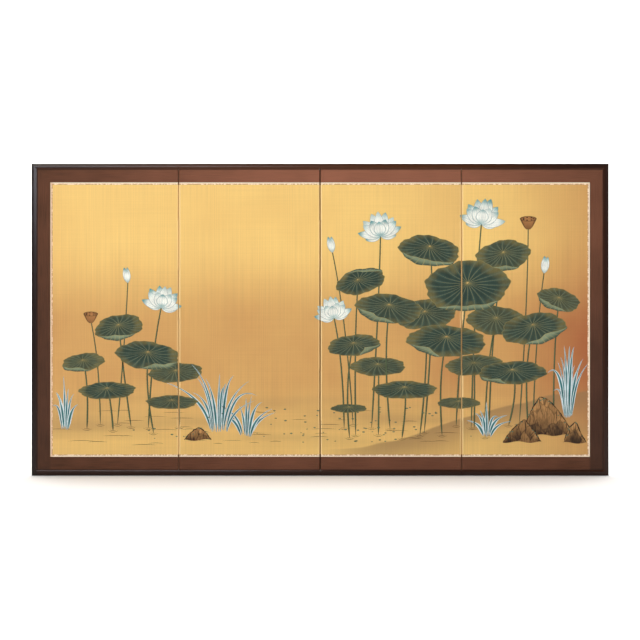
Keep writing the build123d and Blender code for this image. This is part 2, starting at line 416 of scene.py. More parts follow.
def flat_range(i, inset=0.0):
    """The flat part of a sheet on panel i that stops this far inside the moulding."""
    low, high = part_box(f"panel_{i}_front_paper")
    return low.x + (inset if i == 1 else 0.0), high.x - (inset if i == len(PANELS) else 0.0)


# Materials


NOISE = (0.3, 0.7)  # most of a noise texture's values lie between these
MODES = {
    "Math": "operation",
    "VectorMath": "operation",
    "MapRange": "interpolation_type",
    "Mix": "data_type",
}


def fill(node, *values, **named):
    """Fills a node's first inputs in order, and the inputs of the names given. Each takes a
    value, a node or a node's output."""
    sockets = list(zip(node.inputs, values))
    for name, value in named.items():
        wanted = name.replace("_", " ")
        sockets.append((next(s for s in node.inputs if s.enabled and s.name == wanted), value))
    for socket, value in sockets:
        if isinstance(value, bpy.types.Node):
            value = next(s for s in value.outputs if s.enabled)
        if isinstance(value, bpy.types.NodeSocket):
            node.id_data.links.new(value, socket)
        else:
            socket.default_value = value


def add_node(tree, kind, *values, **named):
    """Adds a node. A second word in kind is its mode, such as Math ADD. Names in small letters are
    its settings, and the others fill its inputs, as the values do."""
    kind, _, mode = kind.partition(" ")
    node = tree.nodes.new("ShaderNode" + kind)
    if mode:
        setattr(node, MODES[kind], mode)
    settings = [name for name in named if name.islower()]
    for name in settings:
        setattr(node, name, named.pop(name))
    fill(node, *values, **named)
    return node


def new_material(name, **surface):
    """A material, the function that adds its nodes, and its shader with its uniform values."""
    material = bpy.data.materials.new(name)
    material.use_nodes = True
    material.node_tree.nodes.clear()
    add = partial(add_node, material.node_tree)
    shader = add("BsdfPrincipled", **surface)
    add("OutputMaterial", shader)
    return material, add, shader


def toned(add, base, tone):
    """A colour made lighter or darker by a tone round 1."""
    return add("Mix RGBA", Factor=1.0, A=base, B=add("CombineColor", tone, tone, tone),
               blend_type="MULTIPLY")


def per(millimetres):
    """Scale of a pattern whose threads, grains or clouds lie this far apart."""
    return 1 / (millimetres * MM)


def urushi_lacquer(colours):
    """Urushi: brown-black lacquer, brushed on over wood in thin coats and rubbed to satin.

    It gives the eye a soft grey sheen, long faint brush lines and brown where the lacquer is worn
    on the inner arris. The brown along the top, most in the middle, is painted light; the darker
    outer part of the moulding and the darker left stile are painted shade.
    """
    material, add, shader = new_material("urushi_lacquer", Specular_IOR_Level=0.23)
    place = add("TexCoord").outputs["Object"]
    x, y, z = add("SeparateXYZ", place).outputs
    width = SIZES.body_bottom  # of the moulding, as the screen stands on z = 0
    sideways = add("Math SUBTRACT", add("Math ABSOLUTE", x), SIZES.body_right)
    above = add("Math SUBTRACT", z, SIZES.body_top)
    below = add("Math SUBTRACT", SIZES.body_bottom, z)
    across = add("Math MAXIMUM", add("Math MAXIMUM", sideways, above), below)
    along = add("Math ADD", x, z)
    # Brush lines about 1 mm apart across the moulding and a hand's breadth long
    brushed = add("Mapping", Vector=add("CombineXYZ", across, y, along),
                  Scale=(per(1.11), per(1.11), per(111)))
    lines = add("TexNoise", Vector=brushed, Scale=1.0, Detail=2.0)
    cloud = add("TexNoise", Vector=place, Scale=per(143), Detail=3.0)
    off_arris = add("Math ABSOLUTE", add("Math SUBTRACT", across, 0.13 * width))
    arris = add("MapRange SMOOTHSTEP", off_arris, 0.12 * width, 0.03 * width, 0.0, 0.4)
    # Lighter brown along the top, most of all in the middle: painted light from the lamps above
    lit_middle = add("MapRange SMOOTHSTEP", add("Math ABSOLUTE", x), 0.8, 0.3, 0.0, 0.36)
    thin = add("Math MULTIPLY", add("MapRange", above, -0.3 * width, 0.1 * width), lit_middle)
    # Wear on the inner arris, and the painted light along the top
    rubbed_and_lit = add("Math MAXIMUM", add("Math MULTIPLY", arris, cloud), thin)
    # The outer part of the moulding is made darker: painted shade where it rounds away from the
    # light
    outside = add("MapRange SMOOTHSTEP", across, 0.62 * width, 0.95 * width, 1.0, 0.55)
    base = add("Mix RGBA", Factor=rubbed_and_lit, A=colours.lacquer, B=colours.lacquer_worn)
    # The left stile is made darker: painted shade
    kept = add("MapRange", x, SIZES.body_left, SIZES.body_left + 2 * MM, 0.5, 1.0)
    shade = add("Math MULTIPLY", add("MapRange", lines, *NOISE, 0.82, 1.18),
                add("Math MULTIPLY", outside, kept))
    tint = toned(add, base, shade)
    rough = add("MapRange", lines, *NOISE, 0.18, 0.26)
    bump = add("Bump", Strength=0.12, Distance=0.08 * MM, Height=lines)
    fill(shader, Base_Color=tint, Roughness=rough, Normal=bump)
    return material


def cedar(colours, name, grain_axis):
    """Japanese cedar, planed: straight brown late-wood lines 2 to 4 mm apart in a pale ground."""
    material, add, shader = new_material(name, IOR=1.5, Specular_IOR_Level=0.35)
    place = add("TexCoord").outputs["Object"]

    def grain(across, along):
        stretch = [per(across)] * 3
        stretch[grain_axis] = per(along)
        return add("Mapping", Vector=place, Scale=stretch)

    rings = add("TexNoise", Vector=grain(3, 160), Scale=1.0, Detail=3.0, Distortion=0.4)
    fibres = add("TexNoise", Vector=grain(0.5, 30), Scale=1.0, Detail=2.0)
    late = add("MapRange SMOOTHSTEP", rings, 0.46, 0.62, 0.0, 0.55)
    base = add("Mix RGBA", Factor=late, A=colours.cedar, B=linear("#8a5c35"))
    tone = add("MapRange", fibres, *NOISE, 0.86, 1.1)
    tint = toned(add, base, tone)
    rough = add("MapRange", fibres, *NOISE, 0.6, 0.78)
    bump = add("Bump", Strength=0.3, Distance=0.15 * MM, Height=fibres)
    fill(shader, Base_Color=tint, Roughness=rough, Normal=bump)
    return material


def washi(colours):
    """Mulberry paper, several layers pasted: cream, matte, with long fibres and thicker clouds."""
    material, add, shader = new_material("washi", Specular_IOR_Level=0.25)
    place = add("TexCoord").outputs["Object"]
    fibres = add("TexNoise", Vector=place, Scale=per(3.85), Detail=4.0, Distortion=2.5)
    clouds = add("TexNoise", Vector=place, Scale=per(45.5), Detail=2.0)
    light = add("MapRange", fibres, 0.35, 0.65, 0.88, 1.06)
    base = add("Mix RGBA", Factor=clouds, A=colours.washi, B=linear("#c8b78f"))
    tint = toned(add, base, light)
    rough = add("MapRange", fibres, *NOISE, 0.78, 0.95)
    bump = add("Bump", Strength=0.35, Distance=0.1 * MM, Height=fibres)
    fill(shader, Base_Color=tint, Roughness=rough, Normal=bump)
    return material


def forged_iron(colours):
    """Forged iron, scaled black by the fire, with brown rust in spots about 1 mm across."""
    material, add, shader = new_material("forged_iron")
    place = add("TexCoord").outputs["Object"]
    spots = add("TexNoise", Vector=place, Scale=per(1.11), Detail=4.0)
    rust = add("MapRange SMOOTHSTEP", spots, 0.5, 0.62)
    tint = add("Mix RGBA", Factor=rust, A=colours.iron, B=linear("#5f3a22"))
    metal = add("MapRange", rust, 0.0, 1.0, 0.95, 0.1)
    rough = add("MapRange", rust, 0.0, 1.0, 0.45, 0.85)
    bump = add("Bump", Strength=0.4, Distance=0.1 * MM, Height=spots)
    fill(shader, Base_Color=tint, Metallic=metal, Roughness=rough, Normal=bump)
    return material


def panel_share(add, u):
    """How far across its panel u lies, from 0 at the left edge to 1 at the right one."""
    from_left = add("Math SUBTRACT", u, SIZES.body_left)
    return add("Math FRACT", add("Math DIVIDE", from_left, SIZES.pitch))


def gold_of_silk(add, colours, place):
    """Colour of the silk at a picture place: gold, brown with age, darker with painted shade, and
    streaked.
    """
    u, v, _ = add("SeparateXYZ", place).outputs
    # Brown with age in a broad belt below the middle. Darker towards the right of panels 3 and 4,
    # and at the far left: painted shade where the light falls off
    above = add("MapRange SMOOTHSTEP", v, 0.69, 0.43, 0.03, 0.5)
    below = add("MapRange SMOOTHSTEP", v, 0.05, 0.3, 0.07, 0.5)
    belt = add("Math MINIMUM", above, below)
    right_share = add("MapRange", u, 0.2, SIZES.body_right, 0.0, 0.57)
    far_left = add("MapRange", u, -0.66, SIZES.body_left, 0.0, 0.09)
    lean = add("Math ADD", add("Math MULTIPLY", panel_share(add, u), right_share), far_left)
    clouds = add("TexNoise", Vector=place, Scale=per(200), Detail=3.0)
    cloudy = add("MapRange", clouds, *NOISE, -0.06, 0.06)
    dimmed = add("Math ADD", add("Math ADD", belt, lean), cloudy)
    gold = add("Mix RGBA", Factor=dimmed, A=colours.silk_light, B=colours.silk_shade,
               clamp_factor=True)
    # Warp streaks 3 mm wide and longer than a hand, with fainter weft streaks across them
    warp = add("TexNoise", Vector=add("Mapping", Vector=place, Scale=(per(3.03), per(385), 1.0)),
               Scale=1.0, Detail=3.0, Roughness=0.6)
    weft = add("TexNoise", Vector=add("Mapping", Vector=place, Scale=(per(333), per(2.38), 1.0)),
               Scale=1.0, Detail=2.0, Roughness=0.6)
    streaks = add("Math MULTIPLY", add("MapRange", warp, *NOISE, 0.94, 1.06),
                  add("MapRange", weft, *NOISE, 0.975, 1.025))
    tint = toned(add, gold, streaks)
    return tint, warp, weft


def bank_wash(add, place):
    """Share of ink wash at a picture place: a low bank that rises to the right over the water."""
    u, v, _ = add("SeparateXYZ", place).outputs
    wobble = add("TexNoise", Vector=place, Scale=per(312.5), Detail=2.0)
    shift = add("MapRange", wobble, *NOISE, -0.012, 0.012)
    rise = add("MapRange SMOOTHSTEP", u, 0.02, 0.8, 0.085, 0.25)
    depth = add("Math SUBTRACT", add("Math ADD", rise, shift), v)
    brink = add("MapRange SMOOTHSTEP", depth, -0.002, 0.006, 0.0, 1.0)
    fade = add("MapRange SMOOTHSTEP", depth, 0.0, 0.115, 0.72, 0.1)
    reach = add("MapRange SMOOTHSTEP", u, -0.06, 0.22)
    bank = add("Math MULTIPLY", add("Math MULTIPLY", brink, fade), reach)
    level = add("Mapping", Vector=place, Scale=(per(625), per(58.8), 1.0))
    bands = add("TexNoise", Vector=level, Scale=1.0, Detail=1.0)
    off_water = add("Math ABSOLUTE", add("Math SUBTRACT", v, 0.155))
    low = add("MapRange SMOOTHSTEP", off_water, 0.12, 0.01, 0.0, 0.42)
    water = add("Math MULTIPLY", add("MapRange SMOOTHSTEP", bands, *NOISE), low)
    shallows = add("MapRange SMOOTHSTEP", v, 0.15, 0.06, 0.0, 0.07)
    return add("Math MAXIMUM", add("Math MAXIMUM", bank, water), shallows)


def painted_silk(colours):
    """Silk tabby, dyed gold and pasted over paper, then painted in mineral pigments and ink.

    It gives the eye a dry satin gold, fine upright streaks with fainter ones across, brown clouds
    of age, painted shade towards the right of panels 3 and 4 and at the far left, paler lines down
    the hinge edges that are partly wear and partly painted highlight, and straps brightened with
    painted light inside the seams. Its UVs are the rest place in metres.
    """
    material, add, shader = new_material(
        "painted_silk", Specular_IOR_Level=0.32, Sheen_Weight=0.18, Sheen_Roughness=0.45
    )
    place = add("UVMap", uv_map="picture")
    u, v, _ = add("SeparateXYZ", place).outputs
    gold, warp, weft = gold_of_silk(add, colours, place)
    washed = add("Mix RGBA", Factor=bank_wash(add, place), A=gold, B=colours.wash)
    # Paler along a line where the silk turns round a hinge edge: partly wear, partly a painted
    # highlight
    strap = add("Attribute", attribute_name="tone").outputs["Fac"]
    from_seam = add("Math PINGPONG", u, SIZES.pitch / 2)
    off_edge = add("Math ABSOLUTE", add("Math SUBTRACT", from_seam, SIZES.sheet_end - 0.2 * MM))
    pale_edge = add("MapRange SMOOTHSTEP", off_edge, 1.9 * MM, 0.6 * MM, 0.0, 0.9)
    on_sheet = add("Math SUBTRACT", 1.0, strap)
    # Each panel's left edge is paler still: a painted highlight where it faces the key light on the
    # left
    left_edge = add("MapRange", panel_share(add, u), 0.45, 0.55, 1.0, 0.5)
    rubbed_and_lit = add("Math MULTIPLY", add("Math MULTIPLY", pale_edge, on_sheet), left_edge)
    pale = add("Mix RGBA", Factor=rubbed_and_lit, A=washed, B=colours.silk_worn)
    # The straps inside the seams are brightened to a deeper gold: painted light that offsets the
    # shade there
    inside = add("Math MULTIPLY", strap, 0.88)
    tint = add("Mix RGBA", Factor=inside, A=pale, B=colours.silk_hinge)
    rough = add("MapRange", warp, *NOISE, 0.5, 0.64)
    # Threads are 0.1 mm apart, too fine to show, so they are drawn 1.2 mm apart
    turns = math.tau * per(1.2)
    threads = add("Math ADD", add("Math SINE", add("Math MULTIPLY", u, turns)),
                  add("Math SINE", add("Math MULTIPLY", v, turns)))
    height = add("Math ADD", add("Math MULTIPLY", threads, 0.07), add("Math ADD", warp, weft))
    bump = add("Bump", Strength=0.25, Distance=0.12 * MM, Height=height)
    fill(shader, Base_Color=tint, Roughness=rough, Normal=bump)
    return material


def border_cloth(colours, settings):
    """Plain-woven cloth, dyed brown and pasted with its inner edge turned under.

    It gives the eye crossing threads with slubs along the strip, uneven dyeing, painted light
    that makes it lighter high in the middle of the screen, painted shade along the moulding, down
    the side strips and on the straps, and a dark line along the turned edge. Its UVs run along
    the strip and across it, in metres, from the moulding.
    """
    material, add, shader = new_material(
        "border_cloth", Specular_IOR_Level=0.25, Sheen_Weight=0.12, Sheen_Roughness=0.4
    )
    strip = add("UVMap", uv_map="strip")
    u, v, _ = add("SeparateXYZ", strip).outputs
    place = add("UVMap", uv_map="picture")
    x, z, _ = add("SeparateXYZ", place).outputs
    # The threads are 0.4 mm apart, too fine to show, so they are drawn coarser
    turns = math.tau / settings.thread_pitch
    warp = add("Math SINE", add("Math MULTIPLY", u, turns))
    weft = add("Math SINE", add("Math MULTIPLY", v, turns))
    crossing = add("Math MULTIPLY", warp, weft)
    slubs = add("TexNoise", Vector=add("Mapping", Vector=strip, Scale=(per(71.4), per(1.79), 1.0)),
                Scale=1.0, Detail=3.0, Roughness=0.65)
    # Lighter high in the middle of the screen: painted light from the lamps above
    off_middle = add("Math ABSOLUTE", add("Math SUBTRACT", x, 0.12))
    middle = add("MapRange SMOOTHSTEP", off_middle, 1.05, 0.05, 0.06, 0.8)
    high = add("MapRange", z, 0.05, 0.86, 0.4, 1.0)
    cloud = add("TexNoise", Vector=place, Scale=per(111), Detail=2.0)
    dye_and_light = add("Math ADD", add("Math MULTIPLY", middle, high),
              add("MapRange", cloud, *NOISE, 0.0, 0.14))
    dyed = add("Math ADD", dye_and_light, add("MapRange", slubs, *NOISE, -0.14, 0.14))
    base = add("Mix RGBA", Factor=dyed, A=colours.border_dark, B=colours.border_light,
               clamp_factor=True)
    # The side strips are darker towards the floor, the right one most: painted shade
    side = add("MapRange", add("Math ABSOLUTE", x), SIZES.body_right - 1.1 * SIZES.border_width,
               SIZES.body_right - 0.9 * SIZES.border_width)
    low = add("MapRange SMOOTHSTEP", z, 0.74, 0.24)
    share = add("MapRange", x, SIZES.body_left, SIZES.body_right, 0.28, 0.5)
    dimmed = add("Math MULTIPLY", add("Math MULTIPLY", side, low), share)
    tone = add("Math MULTIPLY", add("MapRange", crossing, -1.0, 1.0, 0.9, 1.08),
               add("Math SUBTRACT", 1.0, dimmed))
    cloth = toned(add, base, tone)
    inner = SIZES.border_width - settings.edge_roll
    turned = add("MapRange SMOOTHSTEP", v, inner, inner + settings.edge_roll, 0.0, 0.85)
    edged = add("Mix RGBA", Factor=turned, A=cloth, B=colours.border_edge)
    # Painted shadow along the moulding, where it stands proud of the cloth
    moulding_shadow = add("MapRange SMOOTHSTEP", v, 2.6 * MM, 0.6 * MM, 0.0, 0.85)
    strap = add("Attribute", attribute_name="tone").outputs["Fac"]
    # The painted shadow, and straps darkened to near black as painted shade in the deep gaps at the
    # seams
    dark = add("Math MAXIMUM", moulding_shadow, add("Math MULTIPLY", strap, 0.9))
    tint = add("Mix RGBA", Factor=dark, A=edged, B=linear("#21130c"))
    rough = add("MapRange", slubs, *NOISE, 0.6, 0.76)
    height = add("Math ADD", add("Math MULTIPLY", crossing, 0.3), slubs)
    bump = add("Bump", Strength=0.4, Distance=0.2 * MM, Height=height)
    fill(shader, Base_Color=tint, Roughness=rough, Normal=bump)
    return material


def brocade_fillet(colours, settings):
    """Narrow silk brocade: a white twisted edge and a ground of gold-brown and white threads.

    Its UVs run along the strip and across it, in metres, from the border.
    """
    material, add, shader = new_material(
        "brocade_fillet", Specular_IOR_Level=0.4, Sheen_Weight=0.2, Sheen_Roughness=0.35
    )
    strip = add("UVMap", uv_map="strip")
    u, v, _ = add("SeparateXYZ", strip).outputs
    slant = add("Math ADD", add("Math MULTIPLY", u, 1.0 / settings.cord_twist),
                add("Math MULTIPLY", v, 1.0 / settings.cord_width))
    twist = add("Math SINE", add("Math MULTIPLY", slant, math.tau))
    fine = add("Mapping", Vector=strip, Scale=(per(1.61), per(1.11), 1.0))
    grain = add("TexNoise", Vector=fine, Scale=1.0, Detail=2.0)
    groove = add("MapRange SMOOTHSTEP", twist, -1.0, -0.3, 0.4, 0.0)
    # White threads float over the gold in short runs, 4 to 6 mm apart
    floats = add("Mapping", Vector=strip, Scale=(per(5.26), per(3.85), 1.0))
    specks = add("TexNoise", Vector=floats, Scale=1.0, Detail=1.0)
    ground = add("MapRange SMOOTHSTEP", specks, 0.43, 0.52, 0.05, 0.9)
    on_ground = add("MapRange SMOOTHSTEP", v, settings.cord_width - 0.4 * MM,
                    settings.cord_width + 0.2 * MM)
    gold = add("Mix", Factor=on_ground, A=groove, B=ground)
    cream = add("Mix RGBA", Factor=grain, A=colours.fillet_white, B=linear("#f8dfba"))
    # Tanned down its left side
    x = add("SeparateXYZ", add("UVMap", uv_map="picture")).outputs[0]
    tanned_left = add("MapRange", x, SIZES.body_left + 1.3 * SIZES.border_width,
               SIZES.body_left + 1.1 * SIZES.border_width, 0.0, 0.42)
    cream = add("Mix RGBA", Factor=tanned_left, A=cream, B=linear("#c98f5c"))
    tint = add("Mix RGBA", Factor=gold, A=cream, B=colours.fillet_gold)
    rough = add("MapRange", grain, *NOISE, 0.45, 0.65)
    bump = add("Bump", Strength=0.3, Distance=0.15 * MM, Height=grain)
    fill(shader, Base_Color=tint, Roughness=rough, Normal=bump)
    return material


def printed_back_paper(colours, settings):
    """Karakami: dyed mulberry paper, block-printed in mica with rows of overlapping waves.

    It gives the eye a matte grey-green ground, faint paper fibres and paler, slightly glossy arcs.
    Its UVs are the rest place in metres.
    """
    material, add, shader = new_material("printed_back_paper", Specular_IOR_Level=0.3)
    place = add("UVMap", uv_map="picture")
    u, v, _ = add("SeparateXYZ", place).outputs
    arcs = wave_arcs(add, u, v, settings.wave_width)
    worn = add("TexNoise", Vector=place, Scale=per(8.33), Detail=3.0)
    printed = add("Math MULTIPLY", arcs, add("MapRange", worn, 0.35, 0.6, 0.35, 0.9))
    fibres = add("TexNoise", Vector=place, Scale=per(2.38), Detail=3.0, Distortion=2.0)
    clouds = add("TexNoise", Vector=place, Scale=per(250), Detail=3.0)
    tone = add("Math MULTIPLY", add("MapRange", fibres, 0.35, 0.65, 0.92, 1.06),
               add("MapRange", clouds, *NOISE, 0.9, 1.08))
    base = toned(add, colours.back_paper, tone)
    tint = add("Mix RGBA", Factor=printed, A=base, B=colours.back_print)
    rough = add("MapRange", printed, 0.0, 1.0, 0.82, 0.5)
    bump = add("Bump", Strength=0.3, Distance=0.1 * MM, Height=fibres)
    fill(shader, Base_Color=tint, Roughness=rough, Normal=bump)
    return material


def wave_arcs(add, u, v, width):
    """Rows of fan-shaped waves, each drawn as arcs round the middle of its base.

    Each row is a quarter of the width above the last and half a width to the side. A place
    belongs to the lowest wave that covers it, out of the three rows that can.
    """
    row_height = width / 4
    radius = width / 2
    best = None
    row = add("Math FLOOR", add("Math DIVIDE", v, row_height))
    for step in (-1, 0, 1):
        index = add("Math SUBTRACT", row, float(step))
        base = add("Math MULTIPLY", index, row_height)
        odd = add("Math FLOORED_MODULO", index, 2.0)
        shifted = add("Math ADD", u, add("Math MULTIPLY", odd, radius))
        aside = add("Math SUBTRACT", add("Math FLOORED_MODULO", shifted, width), radius)
        rise = add("Math SUBTRACT", v, base)
        square = add("Math ADD", add("Math MULTIPLY", aside, aside),
                     add("Math MULTIPLY", rise, rise))
        share = add("Math DIVIDE", add("Math SQRT", square), radius)
        inside = add("Math LESS_THAN", share, 1.0)
        best = share if best is None else add("Mix", Factor=inside, A=best, B=share)
    # Three arcs to a wave, at 0.95, 0.65 and 0.35 of its radius
    beat = add("Math PINGPONG", add("Math SUBTRACT", best, 0.95), 0.15)
    line = add("MapRange SMOOTHSTEP", beat, 0.045, 0.02)
    return add("Math MULTIPLY", line, add("Math GREATER_THAN", best, 0.2))


# Pieces


def stand_in(piece, node, body):
    """piece replaces this CAD node and moves with its body, and the node is given the piece's
    finish.
    """
    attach(piece, body)
    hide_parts(node)
    dress(node, piece.data.materials[0])


def dress(node, material):
    """Gives a CAD node its finish. Its shape and place stay as they are."""
    materials = frame["nodes"][node].data.materials
    materials.clear()
    materials.append(material)


def thicken(work, move):
    """Copies all the faces, moves the copy's points and closes the sides between the two."""
    raised = bmesh.ops.extrude_face_region(work, geom=work.faces[:], use_keep_orig=True)
    for element in raised["geom"]:
        if isinstance(element, bmesh.types.BMVert):
            move(element.co)


def make_rail_ends(i, material):
    """Lacquer beads on the ends of panel i's rails that almost close the gaps there, so the seams
    show
    dark: a stand-in for the shade in the gap.
    """
    work = bmesh.new()
    for rail in ("top_rail", "bottom_rail"):
        node = frame["nodes"][f"panel_{i}_{rail}"]
        low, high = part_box(node.name)
        copied = bmesh.new()
        copied.from_mesh(node.data)
        copied.transform(node.matrix_world)
        ends = {side: (low.x if side < 0 else high.x) for side in hinge_sides(i)}

        def at_end(face):
            return any(all(abs(v.co.x - x) < 0.02 * MM for v in face.verts) for x in ends.values())

        def swell(place):
            place.x += LACQUER_BEAD * min(ends, key=lambda side: abs(place.x - ends[side]))

        inner = [face for face in copied.faces if not at_end(face)]
        bmesh.ops.delete(copied, geom=inner, context="FACES")
        thicken(copied, swell)
        gathered = bpy.data.meshes.new("rail_end")
        copied.to_mesh(gathered)
        copied.free()
        work.from_mesh(gathered)
        bpy.data.meshes.remove(gathered)
    name = f"panel_{i}_rail_end_lacquer"
    piece = finished(name, bpy.data.meshes.new(name), work, [material])
    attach(piece, f"panel_{i}")


def gentle(x, z, size, depth):
    """Smooth unevenness from 0 to depth, with lumps of this size."""
    return depth * (0.5 + 0.5 * noise.noise(Vector((x / size, z / size, 0.0))))


def make_silk(i, material):
    """The picture silk of panel i, pasted flat and turned round its hinge edges."""
    inset, step = SIZES.picture_inset, 12 * MM
    zs = heights(SIZES.picture_bottom, SIZES.picture_top, step)
    front, back, uv = hinged_sheet(
        lambda z: flat_range(i, inset), zs, SIZES.silk_face, SIZES.silk_face - SIZES.paper_face,
        FRONT, hinge_sides(i), step, lambda x, z: gentle(x, z, 60 * MM, 0.06 * MM),
    )
    shape = Shape()
    shape.slab(front, back, uv, uv)
    piece = shape.make(f"panel_{i}_picture_silk", [material])
    stand_in(piece, f"panel_{i}_silk", f"panel_{i}")
    low, high = flat_range(i, inset)


def strip_shape(i, inset, surface, step, across, relief):
    """The strips of a band on panel i: top, bottom, and the side that has a moulding.

    inset is from the moulding to the band, across holds the places across it where it has rows,
    and relief gives how far its surface sinks at (along, across).
    """
    thickness = surface - SIZES.paper_face
    shape = Shape()
    for end, sign in ((SIZES.body_top, 1), (SIZES.body_bottom, -1)):
        zs = np.sort([end - sign * (inset + v) for v in across])
        to_across = lambda z: sign * (end - z) - inset
        front, back, uv = hinged_sheet(
            lambda z: flat_range(i, inset + to_across(z)), zs, surface, thickness, FRONT,
            hinge_sides(i), step, lambda x, z: relief(x, to_across(z)),
        )
        strip_uv = np.dstack([uv[..., 0], to_across(uv[..., 1])])
        shape.slab(front, back, uv, strip_uv)
    for side in {-1, 1}.difference(hinge_sides(i)):
        edge = SIZES.body_right if side > 0 else SIZES.body_left
        count = len(spaced(SIZES.body_bottom, SIZES.body_top, step))
        rows = []
        for v in across:
            low, high = SIZES.body_bottom + inset + v, SIZES.body_top - inset - v
            x = edge - side * (inset + v)
            zs = np.linspace(low, high, count)
            rows.append([(x, -(surface - relief(z, v)), z, v) for z in zs])
        rows = np.array(rows)
        front = rows[..., :3]
        back = front.copy()
        back[..., 1] = -SIZES.paper_face
        shape.slab(front, back, rows[..., [0, 2]], rows[..., [2, 3]])
    return shape


def make_border(i, material, settings, fillet):
    """The border of panel i: cloth with a rolled inner edge, tucked in at the moulding."""
    width, roll = SIZES.border_width, settings.edge_roll
    tuck, groove = 1.0 * MM, 0.14 * MM

    def relief(along, v):
        rise = math.sin(math.pi * min(1.0, max(0.0, (v - width + roll) / roll)))
        tucked = 0.2 * MM * max(0.0, 1 - v / tuck)
        return groove * (1 - rise) + tucked + gentle(along, v, 25 * MM, 0.04 * MM)

    across = [0.0, 0.4 * MM, tuck, *np.linspace(tuck, width - roll, 9)[1:-1]]
    across += list(width - roll + roll * np.linspace(0, 1, 7))
    shape = strip_shape(i, 0.0, SIZES.border_face, 8 * MM, across, relief)
    piece = shape.make(f"panel_{i}_border_cloth", [material])
    stand_in(piece, f"panel_{i}_border", f"panel_{i}")


def make_fillet(i, material, settings):
    """The brocade fillet of panel i: a flattened twisted edge beside a flat woven ground.

    It is too narrow to count as a sheet of its own.
    """
    width = SIZES.picture_inset - SIZES.border_width
    cord, twist = settings.cord_width, settings.cord_twist
    swell = 0.34 * MM

    def relief(along, v):
        if v > cord:
            return swell * 0.85
        crown = math.sin(math.pi * v / cord) ** 0.6
        ply = 0.5 + 0.5 * math.sin(math.tau * (along / twist + v / cord))
        return swell * (1 - crown * (0.45 + 0.55 * ply**0.5))

    across = [*np.linspace(0, cord, 8), cord + 0.3 * MM, width - 0.3 * MM, width]
    shape = strip_shape(i, SIZES.border_width, SIZES.fillet_face, 0.9 * MM, across, relief)
    piece = shape.make(f"panel_{i}_brocade_fillet", [material], crease=60.0)
    stand_in(piece, f"panel_{i}_fillet", f"panel_{i}")
    return piece


def make_back_paper(i, material):
    """The printed paper on the back of panel i, turned round its hinge edges."""
    step = 15 * MM
    zs = heights(SIZES.body_bottom, SIZES.body_top, step)
    front, back, uv = hinged_sheet(
        lambda z: flat_range(i), zs, SIZES.cover_face, SIZES.cover_face - SIZES.paper_face, BACK,
        hinge_sides(i), step, lambda x, z: gentle(x, z, 45 * MM, 0.08 * MM),
    )
    shape = Shape()
    shape.slab(front, back, uv, uv)
    piece = shape.make(f"panel_{i}_printed_back_paper", [material])
    stand_in(piece, f"panel_{i}_back_cover", f"panel_{i}")


def rounded_path(corners, radii, steps):
    """Points along a path of straight runs whose inner corners are rounded."""
    points = [np.array(corners[0])]
    for before, corner, after, radius in zip(corners, corners[1:], corners[2:], radii):
        corner = np.array(corner)
        back, ahead = np.array(before) - corner, np.array(after) - corner
        back, ahead = back / np.linalg.norm(back), ahead / np.linalg.norm(ahead)
        half = math.acos(max(-1.0, min(1.0, back @ ahead))) / 2
        middle = (back + ahead) / np.linalg.norm(back + ahead)
        centre = corner + middle * radius / math.sin(half)
        reach = math.pi / 2 - half
        first = corner + back * radius / math.tan(half) - centre
        last = corner + ahead * radius / math.tan(half) - centre
        for t in np.linspace(0, 1, steps):
            blend = math.sin((1 - t) * 2 * reach) * first + math.sin(t * 2 * reach) * last
            points.append(centre + blend / math.sin(2 * reach))
    points.append(np.array(corners[-1]))
    return points


def divided(points, step):
    """The same path with its long runs divided, so that it can bend."""
    result = [points[0]]
    for a, b in zip(points, points[1:]):
        count = max(1, math.ceil(np.linalg.norm(b - a) / step))
        result += [a + (b - a) * k / count for k in range(1, count + 1)]
    return np.array(result)


def normals(line):
    """Unit vectors square to a line, on its right, at each of its points."""
    steps = np.gradient(line, axis=0)
    return (steps / np.linalg.norm(steps, axis=1)[:, None])[:, ::-1] * (1, -1)


def strap_path():
    """Middle line of a strap, in (x, y) from its seam: left front leaf, slope, right back leaf."""
    middle = SIZES.core_face + STRAP_THICKNESS / 2
    wall = SIZES.core_end - STRAP_THICKNESS / 2 - STRAP_STAND_OFF
    snug = EDGE_ROUND + STRAP_THICKNESS / 2
    start_x = snug * math.tan(STRAP_SLOPE / 2) - SIZES.sheet_end
    reach = SIZES.sheet_end + LEAF_WIDTH
    corners = [
        (-reach, -middle),
        (start_x, -middle),
        (wall, (wall - start_x) * math.tan(STRAP_SLOPE) - middle),
        (wall, middle),
        (reach, middle),
    ]
    rounded = rounded_path(corners, [STRAP_TURN, STRAP_BEND, STRAP_TURN], 9)
    path = divided(rounded, 0.4 * MM)
    # The leaves lie flat, so that beside the seam only their ends are kept
    kept = np.abs(path[:, 0]) < SIZES.sheet_end + 2 * MM
    kept[[0, -1]] = True
    return path[kept]


SILK, CLOTH, BACK_PAPER = range(3)  # places of the straps' finishes in their materials


